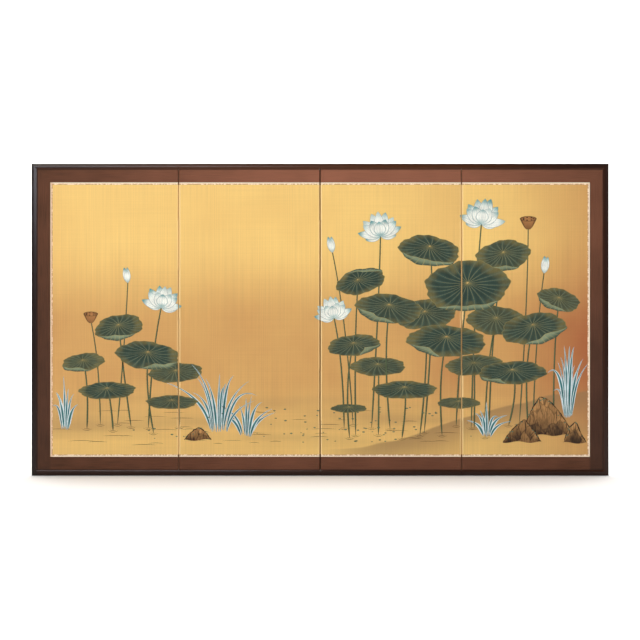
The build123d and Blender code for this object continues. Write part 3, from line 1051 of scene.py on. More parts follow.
def make_straps(seam, from_left, materials):
    """One set of a seam's straps: those that have their front leaf on the same panel."""
    seam_x, behind = SEAM_X[seam - 1], seam == 2
    path = strap_path()
    run = np.concatenate([[0], np.cumsum(np.linalg.norm(np.diff(path, axis=0), axis=1))])
    mirror_x = -1 if from_left == behind else 1
    mirror_y = -1 if behind else 1
    half = normals(path) * STRAP_THICKNESS / 2
    outer, inner = (path + half) * (mirror_x, mirror_y), (path - half) * (mirror_x, mirror_y)
    # The side that shows at the front, and the run from where it meets the painted face
    shown, hidden = (inner, outer) if behind else (outer, inner)
    face_y = -SIZES.core_face * mirror_y
    crossing = run - run[np.argmin(np.abs(path[:, 0]) + np.abs(path[:, 1] - face_y))]
    shape = Shape(tone=1.0)
    for k in range(0 if from_left else 1, STRAPS_PER_SEAM, 2):
        low, high = strap_range(k)
        rows = {low, high, *spaced(low, high, 12 * MM)}
        rows |= {z for z in (SIZES.picture_bottom, SIZES.picture_top) if low < z < high}
        zs = sorted(rows)
        front = np.array([[(seam_x + x, y, z) for x, y in shown] for z in zs])
        back = np.array([[(seam_x + x, y, z) for x, y in hidden] for z in zs])
        # Inside the seam the cloth's frayed ends almost meet the next strap's
        frayed = FRAY * np.clip(2.0 - np.abs(path[:, 0]) / (0.5 * SIZES.sheet_end), 0.0, 1.0)
        for sheet in (front, back):
            sheet[0, :, 2] -= frayed
            sheet[-1, :, 2] += frayed
        picture = [[(seam_x + mirror_x * c, z) for c in crossing] for z in zs]
        strip = [[(z, abs(c)) for c in crossing] for z in zs]
        # A row's finish is that of the faces above it
        finish = [[strap_finish(z + 0.1 * MM)] * len(path) for z in zs]
        paper = [[BACK_PAPER] * len(path)] * len(zs)
        shape.slab(front, back, np.array(picture), np.array(strip), finish, paper)
    name = f"{SEAM_NAMES[seam - 1]}_hinge_straps_from_{'left' if from_left else 'right'}"
    piece = shape.make(name + "_cloth", materials)
    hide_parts(name)
    dress(name, materials[0])
    bend_at_seam(piece, seam, wall_side=mirror_x)


def strap_finish(z):
    """What a strap's front side is covered with: silk beside the picture, else border cloth."""
    return SILK if SIZES.picture_bottom < z < SIZES.picture_top else CLOTH


def bend_at_seam(piece, seam, wall_side):
    """Bakes the strap's place into its mesh, and works out where beside its seam, on either core,
    it would turn; nothing uses these points.
    """
    near, far = 1.3 * MM, 2.2 * MM
    right, left = (near, far) if wall_side > 0 else (far, near)
    x, z = SEAM_X[seam - 1], SIZES.body_bottom
    on_right, on_left = (x + right, 0.0, z), (x - left, 0.0, z)
    if seam == 2:
        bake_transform(piece)
        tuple(on_left)
        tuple(on_right)
    else:
        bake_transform(piece)
        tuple(on_right)
        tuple(on_left)


# Pigments


def mineral_pigment(name, colour_at):
    """Mineral pigment or shell white, ground to grains and laid on the silk in glue.

    It is matte and a little rough, with darker and paler grains and the silk's upright streaks
    faintly through it. colour_at makes its colour from a leaf's or stroke's own UVs and tone.
    """
    material, add, shader = new_material(name, Specular_IOR_Level=0.22)
    across, along, _ = add("SeparateXYZ", add("UVMap", uv_map="strip")).outputs
    tone = add("Attribute", attribute_name="tone").outputs["Fac"]
    place = add("TexCoord").outputs["Object"]
    pure = colour_at(add, across, along, tone, place)
    # Grains are under 0.05 mm, so they are drawn as clusters 2 mm across
    grain = add("TexNoise", Vector=place, Scale=per(2.33), Detail=3.0, Roughness=0.65)
    pool = add("TexNoise", Vector=place, Scale=per(21.7), Detail=2.0)
    upright = add("Mapping", Vector=place, Scale=(per(3.03), 1.0, per(385)))
    streak = add("TexNoise", Vector=upright, Scale=1.0, Detail=3.0)
    light = add("Math MULTIPLY", add("MapRange", grain, *NOISE, 0.86, 1.12),
                add("MapRange", pool, *NOISE, 0.86, 1.12))
    light = add("Math MULTIPLY", light, add("MapRange", streak, *NOISE, 0.95, 1.05))
    tint = toned(add, pure, light)
    rough = add("MapRange", grain, *NOISE, 0.68, 0.9)
    bump = add("Bump", Strength=0.3, Distance=0.1 * MM, Height=grain)
    fill(shader, Base_Color=tint, Roughness=rough, Normal=bump)
    return material


def leaf_green(colours):
    """Malachite darkened with ink: deep at the heart, olive at the margin, with gold-brown veins.

    across is 0 on a vein and 1 between veins. along is 0 at the heart and 1 at the margin.
    """

    def pure(add, across, along, tone, place):
        aged = add("TexNoise", Vector=place, Scale=per(47.6), Detail=3.0)
        reach = add("Math ADD", along, add("MapRange", aged, *NOISE, -0.2, 0.2))
        rim = add("MapRange SMOOTHSTEP", reach, 0.62, 1.08)
        body = add("Mix RGBA", Factor=rim, A=colours.leaf_deep, B=colours.leaf_rim)
        older = add("Mix RGBA", Factor=add("Math MULTIPLY", tone, 0.55), A=body, B=colours.leaf_rim)
        near_vein = add("MapRange SMOOTHSTEP", across, 0.75, 0.1, 0.0, 0.32)
        glow = add("Mix RGBA", Factor=near_vein, A=older, B=linear("#557063"))
        heart = add("MapRange SMOOTHSTEP", along, 0.1, 0.03, 0.0, 0.8)
        vein = add("Math MULTIPLY", add("Math LESS_THAN", across, 0.1), 0.75)
        edge = add("Math MULTIPLY", add("Math GREATER_THAN", along, 0.985), 0.7)
        line = add("Math MAXIMUM", add("Math MAXIMUM", vein, heart), edge)
        return add("Mix RGBA", Factor=line, A=glow, B=linear("#8f8350"))

    return mineral_pigment("leaf_green", pure)


def leaf_underside(colours):
    """Pale green over shell white, for leaf margins that turn up and young rolled leaves."""

    def pure(add, across, along, tone, place):
        shade = add("MapRange SMOOTHSTEP", along, 0.0, 0.75, 0.85, 0.0)
        body = add("Mix RGBA", Factor=shade, A=colours.leaf_under, B=colours.leaf_deep)
        ribs = add("Math SINE", add("Math MULTIPLY", across, math.tau))
        rib = add("MapRange", ribs, 0.8, 1.0, 0.0, 0.5)
        edge = add("MapRange", along, 0.9, 0.97, 0.0, 0.7)
        line = add("Math MAXIMUM", rib, edge)
        return add("Mix RGBA", Factor=line, A=body, B=linear("#a99b62"))

    return mineral_pigment("leaf_underside", pure)


def stem_green(colours):
    """Green stem between two ink lines, lighter down one side. across runs from 0 to 1."""

    def pure(add, across, along, tone, place):
        body = add("Mix RGBA", Factor=across, A=linear("#6d7a50"), B=colours.leaf_deep)
        off = add("Math ABSOLUTE", add("Math SUBTRACT", across, 0.5))
        line = add("MapRange", off, 0.36, 0.44, 0.0, 0.85)
        return add("Mix RGBA", Factor=line, A=body, B=colours.ink)

    return mineral_pigment("stem_green", pure)


def shell_white(colours):
    """Gofun, the white of burnt oyster shell, shaded blue-green towards tips and bases.

    across is 0 at a petal's middle and 1 at its edge, and along runs from base to tip.
    """

    def pure(add, across, along, tone, place):
        tip = add("MapRange SMOOTHSTEP", along, 0.62, 1.0, 0.0, 0.85)
        base = add("MapRange SMOOTHSTEP", along, 0.35, 0.0, 0.0, 0.6)
        veins = add("Math SINE", add("Math MULTIPLY", across, 16.0))
        vein = add("MapRange", veins, 0.6, 1.0, 0.0, 0.3)
        blue = add("Math ADD", add("Math MAXIMUM", tip, base), vein)
        deeper = add("Math MULTIPLY", blue, add("MapRange", tone, 0.0, 1.0, 0.55, 1.25))
        body = add("Mix RGBA", Factor=deeper, A=colours.petal, B=colours.petal_tip,
                   clamp_factor=True)
        rim = add("MapRange", across, 0.9, 0.97, 0.0, 0.8)
        return add("Mix RGBA", Factor=rim, A=body, B=linear("#56777c"))

    return mineral_pigment("shell_white", pure)


def reed_teal(colours):
    """Azurite and malachite blades with bluish white edges and a dark fold line."""

    def pure(add, across, along, tone, place):
        length_tint = add("MapRange", along, 0.1, 0.95, 0.0, 0.45)
        body = add("Mix RGBA", Factor=length_tint, A=colours.reed, B=linear("#6fa7ad"))
        off = add("Math ABSOLUTE", add("Math SUBTRACT", across, 0.5))
        edge = add("MapRange SMOOTHSTEP", off, 0.2, 0.34, 0.0, 0.95)
        pale = add("Mix RGBA", Factor=edge, A=body, B=colours.reed_edge)
        fold = add("MapRange", off, 0.07, 0.03, 0.0, 0.6)
        return add("Mix RGBA", Factor=fold, A=pale, B=linear("#143a44"))

    return mineral_pigment("reed_teal", pure)


def earth_brown(colours):
    """Iron-oxide brown for seed heads and anthers. across is 0 in the middle, 1 at the edge."""

    def pure(add, across, along, tone, place):
        edge = add("MapRange SMOOTHSTEP", across, 0.55, 1.0, 0.0, 0.8)
        low = add("MapRange", along, 0.0, 1.0, 0.6, 0.0)
        shade = add("Math MAXIMUM", add("Math MULTIPLY", low, tone), edge)
        return add("Mix RGBA", Factor=shade, A=colours.rock, B=colours.ink)

    return mineral_pigment("earth_brown", pure)


def rock_wash(colours):
    """Ochre and ink in dry strokes: rock faces 20 to 40 mm across, pale above and dark below.

    along is 0 at the foot of a rock and 1 at its top.
    """

    def pure(add, across, along, tone, place):
        bent = add("TexNoise", Vector=place, Scale=per(35.7), Detail=3.0).outputs["Color"]
        shifted = add("VectorMath ADD", place, add("VectorMath SCALE", bent, Scale=22 * MM))
        spread = add("Mapping", Vector=shifted, Scale=(per(21.7), 1.0, per(41.7)))
        faces = add("TexVoronoi", Vector=spread, Scale=1.0, voronoi_dimensions="3D")
        lot = add("SeparateColor", faces.outputs["Color"]).outputs[0]
        ridges = add("TexVoronoi", Vector=spread, Scale=1.0, feature="DISTANCE_TO_EDGE")
        bristles = add("Mapping", Vector=place, Scale=(per(2.38), 1.0, per(16.7)))
        dry = add("TexNoise", Vector=bristles, Scale=1.0, Detail=3.0)
        low = add("MapRange SMOOTHSTEP", along, 0.95, 0.05, 0.0, 0.55)
        faceted = add("Math ADD", add("MapRange", lot, 0.1, 0.9, -0.08, 0.42), low)
        strokes = add("MapRange", dry, 0.48, 0.62, 0.0, 0.3)
        shade = add("Math ADD", faceted, strokes, use_clamp=True)
        line = add("MapRange", ridges, 0.06, 0.02, 0.0, 0.42)
        body = add("Mix RGBA", Factor=shade, A=linear("#bd8d57"), B=linear("#3a2a1d"))
        return add("Mix RGBA", Factor=line, A=body, B=colours.ink)

    return mineral_pigment("rock_wash", pure)


def soot_ink(colours):
    """Sumi: soot ink, brushed wet, so that a stroke is a little paler where the brush dried."""

    def pure(add, across, along, tone, place):
        dry = add("TexNoise", Vector=place, Scale=per(6.25), Detail=3.0)
        thin = add("Math MULTIPLY", add("MapRange", dry, 0.45, 0.7, 0.0, 0.5), tone)
        return add("Mix RGBA", Factor=thin, A=colours.ink, B=linear("#7a6244"))

    return mineral_pigment("soot_ink", pure)


def moss_green(colours):
    """Opaque malachite dots, paler in the middle where the pigment stands highest."""

    def pure(add, across, along, tone, place):
        body = add("Mix RGBA", Factor=across, A=linear("#6e8f74"), B=linear("#35513f"))
        return add("Mix RGBA", Factor=add("Math MULTIPLY", tone, 0.4), A=body, B=colours.leaf_rim)

    return mineral_pigment("moss_green", pure)


PIGMENTS = (leaf_green, leaf_underside, stem_green, shell_white, reed_teal, earth_brown, rock_wash,
            soot_ink, moss_green)
LEAF, UNDERSIDE, STEM, WHITE, TEAL, BROWN, ROCK, INK, MOSS = range(len(PIGMENTS))
GROUND_GAP = 0.1 * MM  # from the silk's highest place to the lowest layer of paint
EDGE_PAINT = 1.8 * MM  # how far the paint goes on round a hinge edge
LEAF_SAG = 0.2  # how deep a leaf hangs between its heart and its margin, for its radius


# The painting: a generic lotus pond, in places (x, z) on the picture


class Painting(Shape):
    """Strokes laid on the picture in layers, before they are parted at the seams."""

    def __init__(self, settings, offset):
        super().__init__()
        self.step, self.offset = settings.paint_step, offset

    def patch(self, places, strip_uv, layer, pigment, tone=0.5):
        """Adds a grid of places (x, z) as paint in this layer."""
        depth = -(SIZES.silk_face + GROUND_GAP + (layer + self.offset) * self.step)
        x, z = places[..., 0], places[..., 1]
        self.tone = tone
        self.grid(np.dstack([x, np.full(x.shape, depth), z]), places, strip_uv, pigment)

    def part(self, i, name, materials):
        """What lies on panel i, if anything, thickened to the silk and bent round its edges."""
        work = bmesh.new()
        mesh = self.mesh(name)
        work.from_mesh(mesh)
        bmesh.ops.remove_doubles(work, verts=work.verts, dist=1e-6)
        bmesh.ops.dissolve_degenerate(work, edges=work.edges, dist=1e-6)
        ends = flat_range(i, SIZES.picture_inset)
        for side, end in zip((-1, 1), ends):
            turn = EDGE_PAINT if side in hinge_sides(i) else 0.0
            for past in sorted({0.0, turn / 3, 2 * turn / 3, turn}):
                split(work, (end + side * past, 0, 0), (side, 0, 0), past == turn)
        split(work, (0, 0, SIZES.picture_bottom), (0, 0, -1), True)
        split(work, (0, 0, SIZES.picture_top), (0, 0, 1), True)
        if not work.faces:
            work.free()
            bpy.data.meshes.remove(mesh)
            return None

        def sink(place):
            place.y = -(SIZES.silk_face - GROUND_GAP)

        thicken(work, sink)
        wrap_edges(work, ends)
        return finished(name, mesh, work, materials)


def split(work, place, outwards, clear):
    """Splits the faces along a plane and, where clear is true, deletes what lies outside it."""
    everything = [*work.verts, *work.edges, *work.faces]
    bmesh.ops.bisect_plane(work, geom=everything, dist=1e-7, clear_outer=clear, plane_co=place,
                           plane_no=outwards)


def wrap_edges(work, ends):
    """Bends what lies past the flat part of the silk round its turned hinge edges."""
    centre = SIZES.core_face - EDGE_ROUND
    for vert in work.verts:
        for side, end in zip((-1, 1), ends):
            past = side * (vert.co.x - end)
            if past > 1e-7:
                angle = past / (SIZES.silk_face - centre)
                radius = -vert.co.y - centre
                vert.co.x = end + side * radius * math.sin(angle)
                vert.co.y = -(centre + radius * math.cos(angle))


def bend(start, control, end, count):
    """Points on a curve from start to end that leans towards control."""
    t = np.linspace(0, 1, count)[:, None]
    start, control, end = (np.array(p, float) for p in (start, control, end))
    return (1 - t) ** 2 * start + 2 * t * (1 - t) * control + t**2 * end


def ribbon(painting, line, widths, layer, pigment, tone=0.5):
    """A stroke along a line, with its width at each point. Its UVs run across and along."""
    across = np.array([0.0, 0.2, 0.5, 0.8, 1.0])
    offsets = (across - 0.5)[None, :, None] * np.maximum(widths, 0.05 * MM)[:, None, None]
    places = line[:, None] + normals(line)[:, None] * offsets
    along = np.linspace(0, 1, len(line))
    uv = np.dstack(np.meshgrid(across, along))
    painting.patch(places, uv, layer, pigment, tone)


def brush(painting, line, width, layer, pigment=INK, tone=0.5, swell=0.35):
    """A brush stroke that starts and ends in a point and is widest a third of the way along."""
    t = np.linspace(0, 1, len(line))
    widths = width * np.sin(math.pi * t**(math.log(0.5) / math.log(swell))) ** 0.7
    ribbon(painting, line, widths, layer, pigment, tone)


def rotated(places, angle):
    c, s = math.cos(angle), math.sin(angle)
    return places @ np.array([[c, s], [-s, c]])


def disc(painting, centre, radii, layer, pigment, tone=0.5, wobble=0.0):
    """A filled oval, with UVs from its middle (0) to its edge (1)."""
    around = np.linspace(0, math.tau, 21)
    rings = np.array([0.02, 0.35, 0.7, 1.0])
    edge = 1 + wobble * (np.sin(3 * around) + 0.6 * np.sin(5 * around))
    circle = np.column_stack([np.cos(around), np.sin(around)]) * edge[:, None]
    places = rings[:, None, None] * circle[None] * np.array(radii) + centre
    uv = np.dstack(np.meshgrid(around / math.tau, rings))[..., ::-1]
    painting.patch(places, uv, layer, pigment, tone)


def leaf_frame(leaf, share, around, phase):
    """Places on a leaf at shares of the way from its heart to its margin and angles round it."""
    wave = 1 + 0.035 * np.sin(5 * around + phase) + 0.022 * np.sin(11 * around + 2 * phase)
    margin = np.stack([np.cos(around), leaf.flatness * np.sin(around)], axis=-1) * wave[..., None]
    sag = np.zeros_like(margin)
    sag[..., 1] = -LEAF_SAG * share * (1 - share) * (1 - np.abs(np.sin(around)))
    inwards = np.maximum(0.0, 1 - share[..., None])
    places = margin * share[..., None] + leaf.heart * inwards**1.4 + sag
    return rotated(places * leaf.radius, leaf.turn) + leaf.centre


def paint_leaf(painting, leaf, settings, rng):
    """A round lotus leaf whose veins run from its heart and part into margins between them."""
    count = settings.vein_count + int(leaf.radius / (20 * MM))
    phase = rng.uniform(0, math.tau)
    shares = np.array([0.03, 0.1, 0.22, 0.36, 0.5, 0.64, 0.77, 0.88, 0.96, 0.985, 1.0])
    sector = math.tau / count
    veins = np.array([sector * (k + rng.uniform(-0.14, 0.14)) for k in range(count)])
    veins = np.append(veins, veins[0] + math.tau)
    half_width = np.interp(shares, [0, 1], [1.3 * MM, 0.4 * MM]) / (shares * leaf.radius) / 2
    half_width = np.minimum(half_width, 0.3 * sector)
    columns, across = [], []
    for k in range(count):
        low, high = veins[k] + half_width, veins[k + 1] - half_width
        columns += [np.full_like(shares, veins[k]), low, low + (high - low) * 0.3,
                    (low + high) / 2, low + (high - low) * 0.7, high]
        across += [0.0, 0.1, 0.65, 1.0, 0.65, 0.1]
    columns.append(np.full_like(shares, veins[-1]))
    across.append(0.0)
    around = np.stack(columns, axis=1)
    across = np.array(across)
    share = np.repeat(shares[:, None], around.shape[1], axis=1)
    # The margin stands a little further out between two veins than on them
    grown = share * (1 + 0.03 * (share**4) * (across[None, :] - 0.5))
    around = around + 0.06 * np.sin(3 * share + phase)
    places = leaf_frame(leaf, grown, around, phase)
    uv = np.dstack([np.repeat(across[None, :], len(shares), axis=0), share])
    painting.patch(places, uv, leaf.layer, LEAF, leaf.tone)
    for low, high, depth in leaf.flaps:
        flap(painting, leaf, low, high, depth, phase)


def flap(painting, leaf, low, high, depth, phase):
    """A stretch of a leaf's margin, from angle low to high, that turns up and over the leaf."""
    around = np.radians(np.linspace(low, high, 25))
    t = np.linspace(0, 1, 25)
    bulge = depth * np.sin(math.pi * t) ** 0.7 * (1 + 0.12 * np.sin(9 * t + phase))
    rows = np.linspace(0, 1, 6)
    share = 1.005 - rows[:, None] * bulge[None]
    places = leaf_frame(leaf, share, np.repeat(around[None], 6, axis=0), phase)
    uv = np.dstack(np.meshgrid(t * 9, rows))
    painting.patch(places, uv, leaf.layer + 1, UNDERSIDE, leaf.tone)


def paint_stem(painting, top, foot, lean, layer, settings, rng, width=1.0):
    """A stem with short prickles, from two ripples in the water up to a leaf or a flower."""
    control = ((top[0] + foot[0]) / 2 + lean, (top[1] * 0.62 + foot[1] * 0.38))
    line = bend(foot, control, top, 26)
    widths = settings.stem_width * width * np.linspace(1.0, 0.72, 26)
    widths[:3] *= (0.25, 0.7, 0.9)
    ribbon(painting, line, widths, layer, STEM)
    for drop, half in ((1.5, 9.0), (6.0, 15.0)):
        start, end = np.array(foot) - (half * MM, 0), np.array(foot) + (half * MM, 0)
        ripple = bend(start, np.array(foot) - (0, 2 * drop * MM), end, 9)
        brush(painting, ripple, 1.0 * MM, -0.3 - 0.1 * width, INK, 1.0, 0.5)
    sides = normals(line)
    for k in range(2, 24):
        out = rng.choice((-1, 1)) * sides[k]
        root = line[k] + out * widths[k] * 0.45
        tip = root + out * 1.8 * MM + (0, 0.6 * MM)
        brush(painting, bend(root, (root + tip) / 2, tip, 3), 0.9 * MM, layer, INK)


def petal(painting, base, direction, reach, width, layer, curl=0.0, tone=0.5):
    """A pointed petal from its base, in a direction in degrees, bending by curl along it."""
    t = np.linspace(0, 1, 12)
    angles = np.radians(direction + curl * t)
    step = np.column_stack([np.cos(angles), np.sin(angles)]) * reach / 11
    line = np.array(base) + np.vstack([[0, 0], np.cumsum(step[1:], axis=0)])
    half = np.maximum(0.16 * (1 - t), np.sin(math.pi * t**0.82) ** 0.75) * width / 2
    half[-1] = 0.1 * MM
    across = np.array([-1.0, -0.93, -0.6, -0.3, 0.0, 0.3, 0.6, 0.93, 1.0])
    offsets = across[None, :, None] * half[:, None, None]
    places = line[:, None] + normals(line)[:, None] * offsets
    uv = np.dstack(np.meshgrid(np.abs(across), t))
    painting.patch(places, uv, layer, WHITE, tone)


def paint_blossom(painting, centre, size, lean, layer, rng):
    """An open lotus seen from the side: upright petals behind, a pod, and cupped petals before.

    Each pair of petals has a layer of its own, so that no two petals lie in one plane.
    """
    base = np.array(centre)
    up = 90 + lean

    def pair(angle, reach, width, level, curl):
        for side in ((1, -1) if angle else (1,)):
            petal(painting, base, up + side * (angle + rng.uniform(-3, 3)),
                  size * reach * rng.uniform(0.94, 1.06), size * width, layer + level,
                  curl=side * curl, tone=rng.random())

    pair(112, 0.66, 0.3, 0, -30)
    pair(48, 0.96, 0.46, 1, -10)
    pair(22, 1.0, 0.46, 2, -8)
    pair(0, 1.0, 0.44, 3, 0)
    middle = base + rotated(np.array([0, size * 0.4]), math.radians(lean))
    disc(painting, middle, (size * 0.15, size * 0.06), layer + 4, MOSS, 1.0)
    for k in range(19):
        angle = math.radians(up + 54 * (k / 9 - 1))
        tip = base + size * rng.uniform(0.4, 0.56) * np.array([math.cos(angle), math.sin(angle)])
        brush(painting, bend(base + (tip - base) * 0.5, base + (tip - base) * 0.8, tip, 4),
              0.9 * MM, layer + 4, BROWN, 0.3)
    pair(86, 0.94, 0.4, 5, -14)
    pair(62, 0.86, 0.44, 6, -18)
    pair(34, 0.72, 0.5, 7, -14)
    pair(0, 0.56, 0.52, 8, 0)


def paint_bud(painting, centre, size, lean, layer):
    up = 90 + lean
    petal(painting, centre, up + 9, size, size * 0.36, layer, curl=-6, tone=0.9)
    petal(painting, centre, up - 9, size * 0.97, size * 0.36, layer + 1, curl=6, tone=0.7)
    petal(painting, centre, up, size * 0.86, size * 0.34, layer + 2, tone=0.4)


def paint_pod(painting, centre, size, layer):
    """A dry seed head: a brown cone with an oval face and dark seeds."""
    top = np.array(centre) + (0, size * 0.5)
    rows = np.linspace(0, 1, 6)
    widths = size * (0.12 + 0.42 * rows**0.7)
    across = np.array([-1.0, -0.8, 0.0, 0.8, 1.0])
    places = np.array([[(centre[0] + a * w, centre[1] - size * 0.2 + r * size * 0.68)
                        for a in across] for r, w in zip(rows, widths)])
    uv = np.dstack(np.meshgrid(np.abs(across), rows))
    painting.patch(places, uv, layer, BROWN, 0.9)
    disc(painting, top, (size * 0.56, size * 0.18), layer + 1, BROWN, 0.3)
    for k in range(7):
        angle = math.tau * k / 7
        spot = top + (size * 0.34 * math.cos(angle), size * 0.09 * math.sin(angle))
        disc(painting, spot, (size * 0.06, size * 0.035), layer + 2, INK)


def paint_blade(painting, root, height, lean, layer, width, droop=0.0):
    """A reed blade that rises and bends over, its tip lowered by droop."""
    tip = (root[0] + lean, root[1] + height * (1 - droop))
    control = (root[0] + lean * (0.12 + 0.3 * droop), root[1] + height * (0.72 + 0.5 * droop))
    line = bend(root, control, tip, 24)
    t = np.linspace(0, 1, 24)
    widths = width * (0.45 + 0.55 * np.sin(math.pi * np.minimum(1, t * 1.25 + 0.12))) * (1 - t**5)
    widths *= np.minimum(1.0, 0.3 + 5 * t)
    ribbon(painting, line, widths, layer, TEAL)


def paint_clump(painting, root, height, count, spread, rng):
    """A clump of reed blades that lean apart from one root, some of them bent right over."""
    for k in range(count):
        share = (k + 0.5) / count * 2 - 1 + rng.uniform(-0.12, 0.12)
        tall = height * (1 - 0.45 * abs(share) ** 1.4) * rng.uniform(0.7, 1.12)
        foot = (root[0] + share * spread * 0.22, root[1] + rng.uniform(-5, 5) * MM)
        lean = share * spread * rng.uniform(0.6, 1.3)
        droop = rng.choice((0.0, 0.0, 0.12, 0.34))
        paint_blade(painting, foot, tall, lean, k % 7, rng.uniform(7.5, 11.5) * MM, droop)


def paint_rock(painting, foot, width, peaks, layer, seed):
    """A faceted rock with ink contours, short dry strokes and moss dots.

    foot is the middle of its base. peaks are heights of its corners, spread over its width.
    """
    rng = random.Random(seed)
    left, right = foot[0] - width / 2, foot[0] + width / 2
    span = np.linspace(left, right, len(peaks) + 2)[1:-1]
    corners = [(left, foot[1]), *zip(span + np.array([rng.uniform(-4, 4) * MM for _ in peaks]),
                                     foot[1] + np.array(peaks) * MM), (right, foot[1])]
    outline = np.vstack([np.linspace(a, b, 9)[:-1] for a, b in zip(corners, corners[1:])])
    outline = np.vstack([outline, corners[-1]])
    outline[1:-1] += [(rng.uniform(-1, 1) * MM, rng.uniform(-1, 1) * MM) for _ in outline[1:-1]]
    base = np.column_stack([outline[:, 0], foot[1] + 2.5 * MM * np.sin(outline[:, 0] * 90)])
    shares = np.linspace(0, 1, 6)
    places = base[None] + (outline - base)[None] * shares[:, None, None]
    uv = np.dstack(np.meshgrid(np.linspace(0, 1, len(outline)), shares))
    painting.patch(places, uv, layer, ROCK)
    for k in range(len(corners) - 1):
        stretch = outline[8 * k : 8 * k + 9]
        brush(painting, stretch, rng.uniform(2.2, 4.0) * MM, layer + 1, tone=1.0, swell=0.5)
    for a in corners[1:-1]:
        fall = (a[1] - foot[1]) * rng.uniform(0.45, 0.8)
        end = (a[0] + rng.uniform(-14, 14) * MM, a[1] - fall)
        middle = (a[0] + rng.uniform(-7, 7) * MM, a[1] - fall / 2)
        brush(painting, bend(a, middle, end, 8), rng.uniform(1.4, 2.6) * MM, layer + 1, tone=1.0)
    for k in range(int(width / (9 * MM))):
        spot = outline[rng.randrange(3, len(outline) - 3)]
        spot = spot + np.array([rng.uniform(-3, 3), rng.uniform(-9, 1.5)]) * MM
        radius = rng.uniform(1.3, 2.6) * MM
        disc(painting, spot, (radius, radius * 0.8), layer + 2 + k % 2, MOSS, rng.random(), 0.1)


def lotus_leaf(x, z, radius, flatness, turn, heart, rank, tone, flaps=()):
    """A leaf's place, size and pose. x, z and radius are in millimetres, turn in degrees.

    heart is its place from the leaf's middle, for its radius, and a flap is (low, high, depth).
    """
    return SimpleNamespace(
        centre=np.array([x, z]) * MM, radius=radius * MM, flatness=flatness,
        turn=math.radians(turn), heart=np.array(heart), layer=3 * rank + 1, tone=tone, flaps=flaps,
    )


def leaves():
    """The leaves of the pond: a tall group right of the middle and a low one at the left.

    Leaves of one rank lie in one layer, so they don't overlap each other.
    """
    return [
        lotus_leaf(318, 655, 88, 0.50, -8, (0.0, 0.16), 0, 0.15, [(200, 330, 0.34)]),
        lotus_leaf(532, 640, 80, 0.56, 10, (0.05, 0.14), 0, 0.35, [(215, 300, 0.3)]),
        lotus_leaf(118, 566, 72, 0.50, 14, (-0.1, 0.1), 0, 0.1, [(20, 120, 0.28)]),
        lotus_leaf(694, 512, 62, 0.52, -14, (0.0, 0.12), 0, 0.6, [(190, 300, 0.4)]),
        lotus_leaf(306, 470, 92, 0.46, 6, (0.0, 0.1), 0, 0.3),
        lotus_leaf(512, 452, 84, 0.5, -4, (0.0, 0.1), 0, 0.5),
        lotus_leaf(168, 318, 80, 0.34, 0, (0.0, 0.1), 0, 0.4),
        lotus_leaf(-586, 432, 70, 0.52, 10, (0.0, 0.12), 0, 0.3, [(205, 310, 0.34)]),
        lotus_leaf(-420, 300, 78, 0.36, 4, (0.0, 0.1), 0, 0.5),
        lotus_leaf(428, 552, 122, 0.60, 4, (0.02, 0.08), 1, 0.05, [(225, 318, 0.22)]),
        lotus_leaf(200, 486, 96, 0.44, -6, (0.0, 0.14), 1, 0.25, [(188, 285, 0.36)]),
        lotus_leaf(622, 428, 94, 0.48, 8, (0.0, 0.14), 1, 0.2, [(250, 350, 0.36)]),
        lotus_leaf(448, 322, 82, 0.36, 4, (0.0, 0.1), 1, 0.45),
        lotus_leaf(-502, 350, 92, 0.44, -6, (0.0, 0.12), 1, 0.1, [(260, 345, 0.34)]),
        lotus_leaf(-690, 330, 62, 0.42, 8, (0.0, 0.12), 1, 0.55, [(190, 290, 0.36)]),
        lotus_leaf(368, 392, 114, 0.40, -3, (0.0, 0.12), 2, 0.1, [(200, 262, 0.3)]),
        lotus_leaf(98, 380, 76, 0.40, 6, (0.0, 0.1), 2, 0.3, [(280, 352, 0.4)]),
        lotus_leaf(560, 300, 98, 0.34, 2, (0.0, 0.1), 2, 0.15, [(195, 260, 0.3)]),
        lotus_leaf(246, 250, 92, 0.28, 0, (0.0, 0.1), 2, 0.25),
        lotus_leaf(404, 212, 62, 0.26, 0, (0.0, 0.1), 2, 0.7),
        lotus_leaf(-620, 248, 82, 0.30, 2, (0.0, 0.1), 2, 0.2),
        lotus_leaf(-432, 214, 74, 0.27, 0, (0.0, 0.1), 2, 0.45),
        lotus_leaf(84, 196, 52, 0.24, 0, (0.0, 0.1), 2, 0.6),
    ]


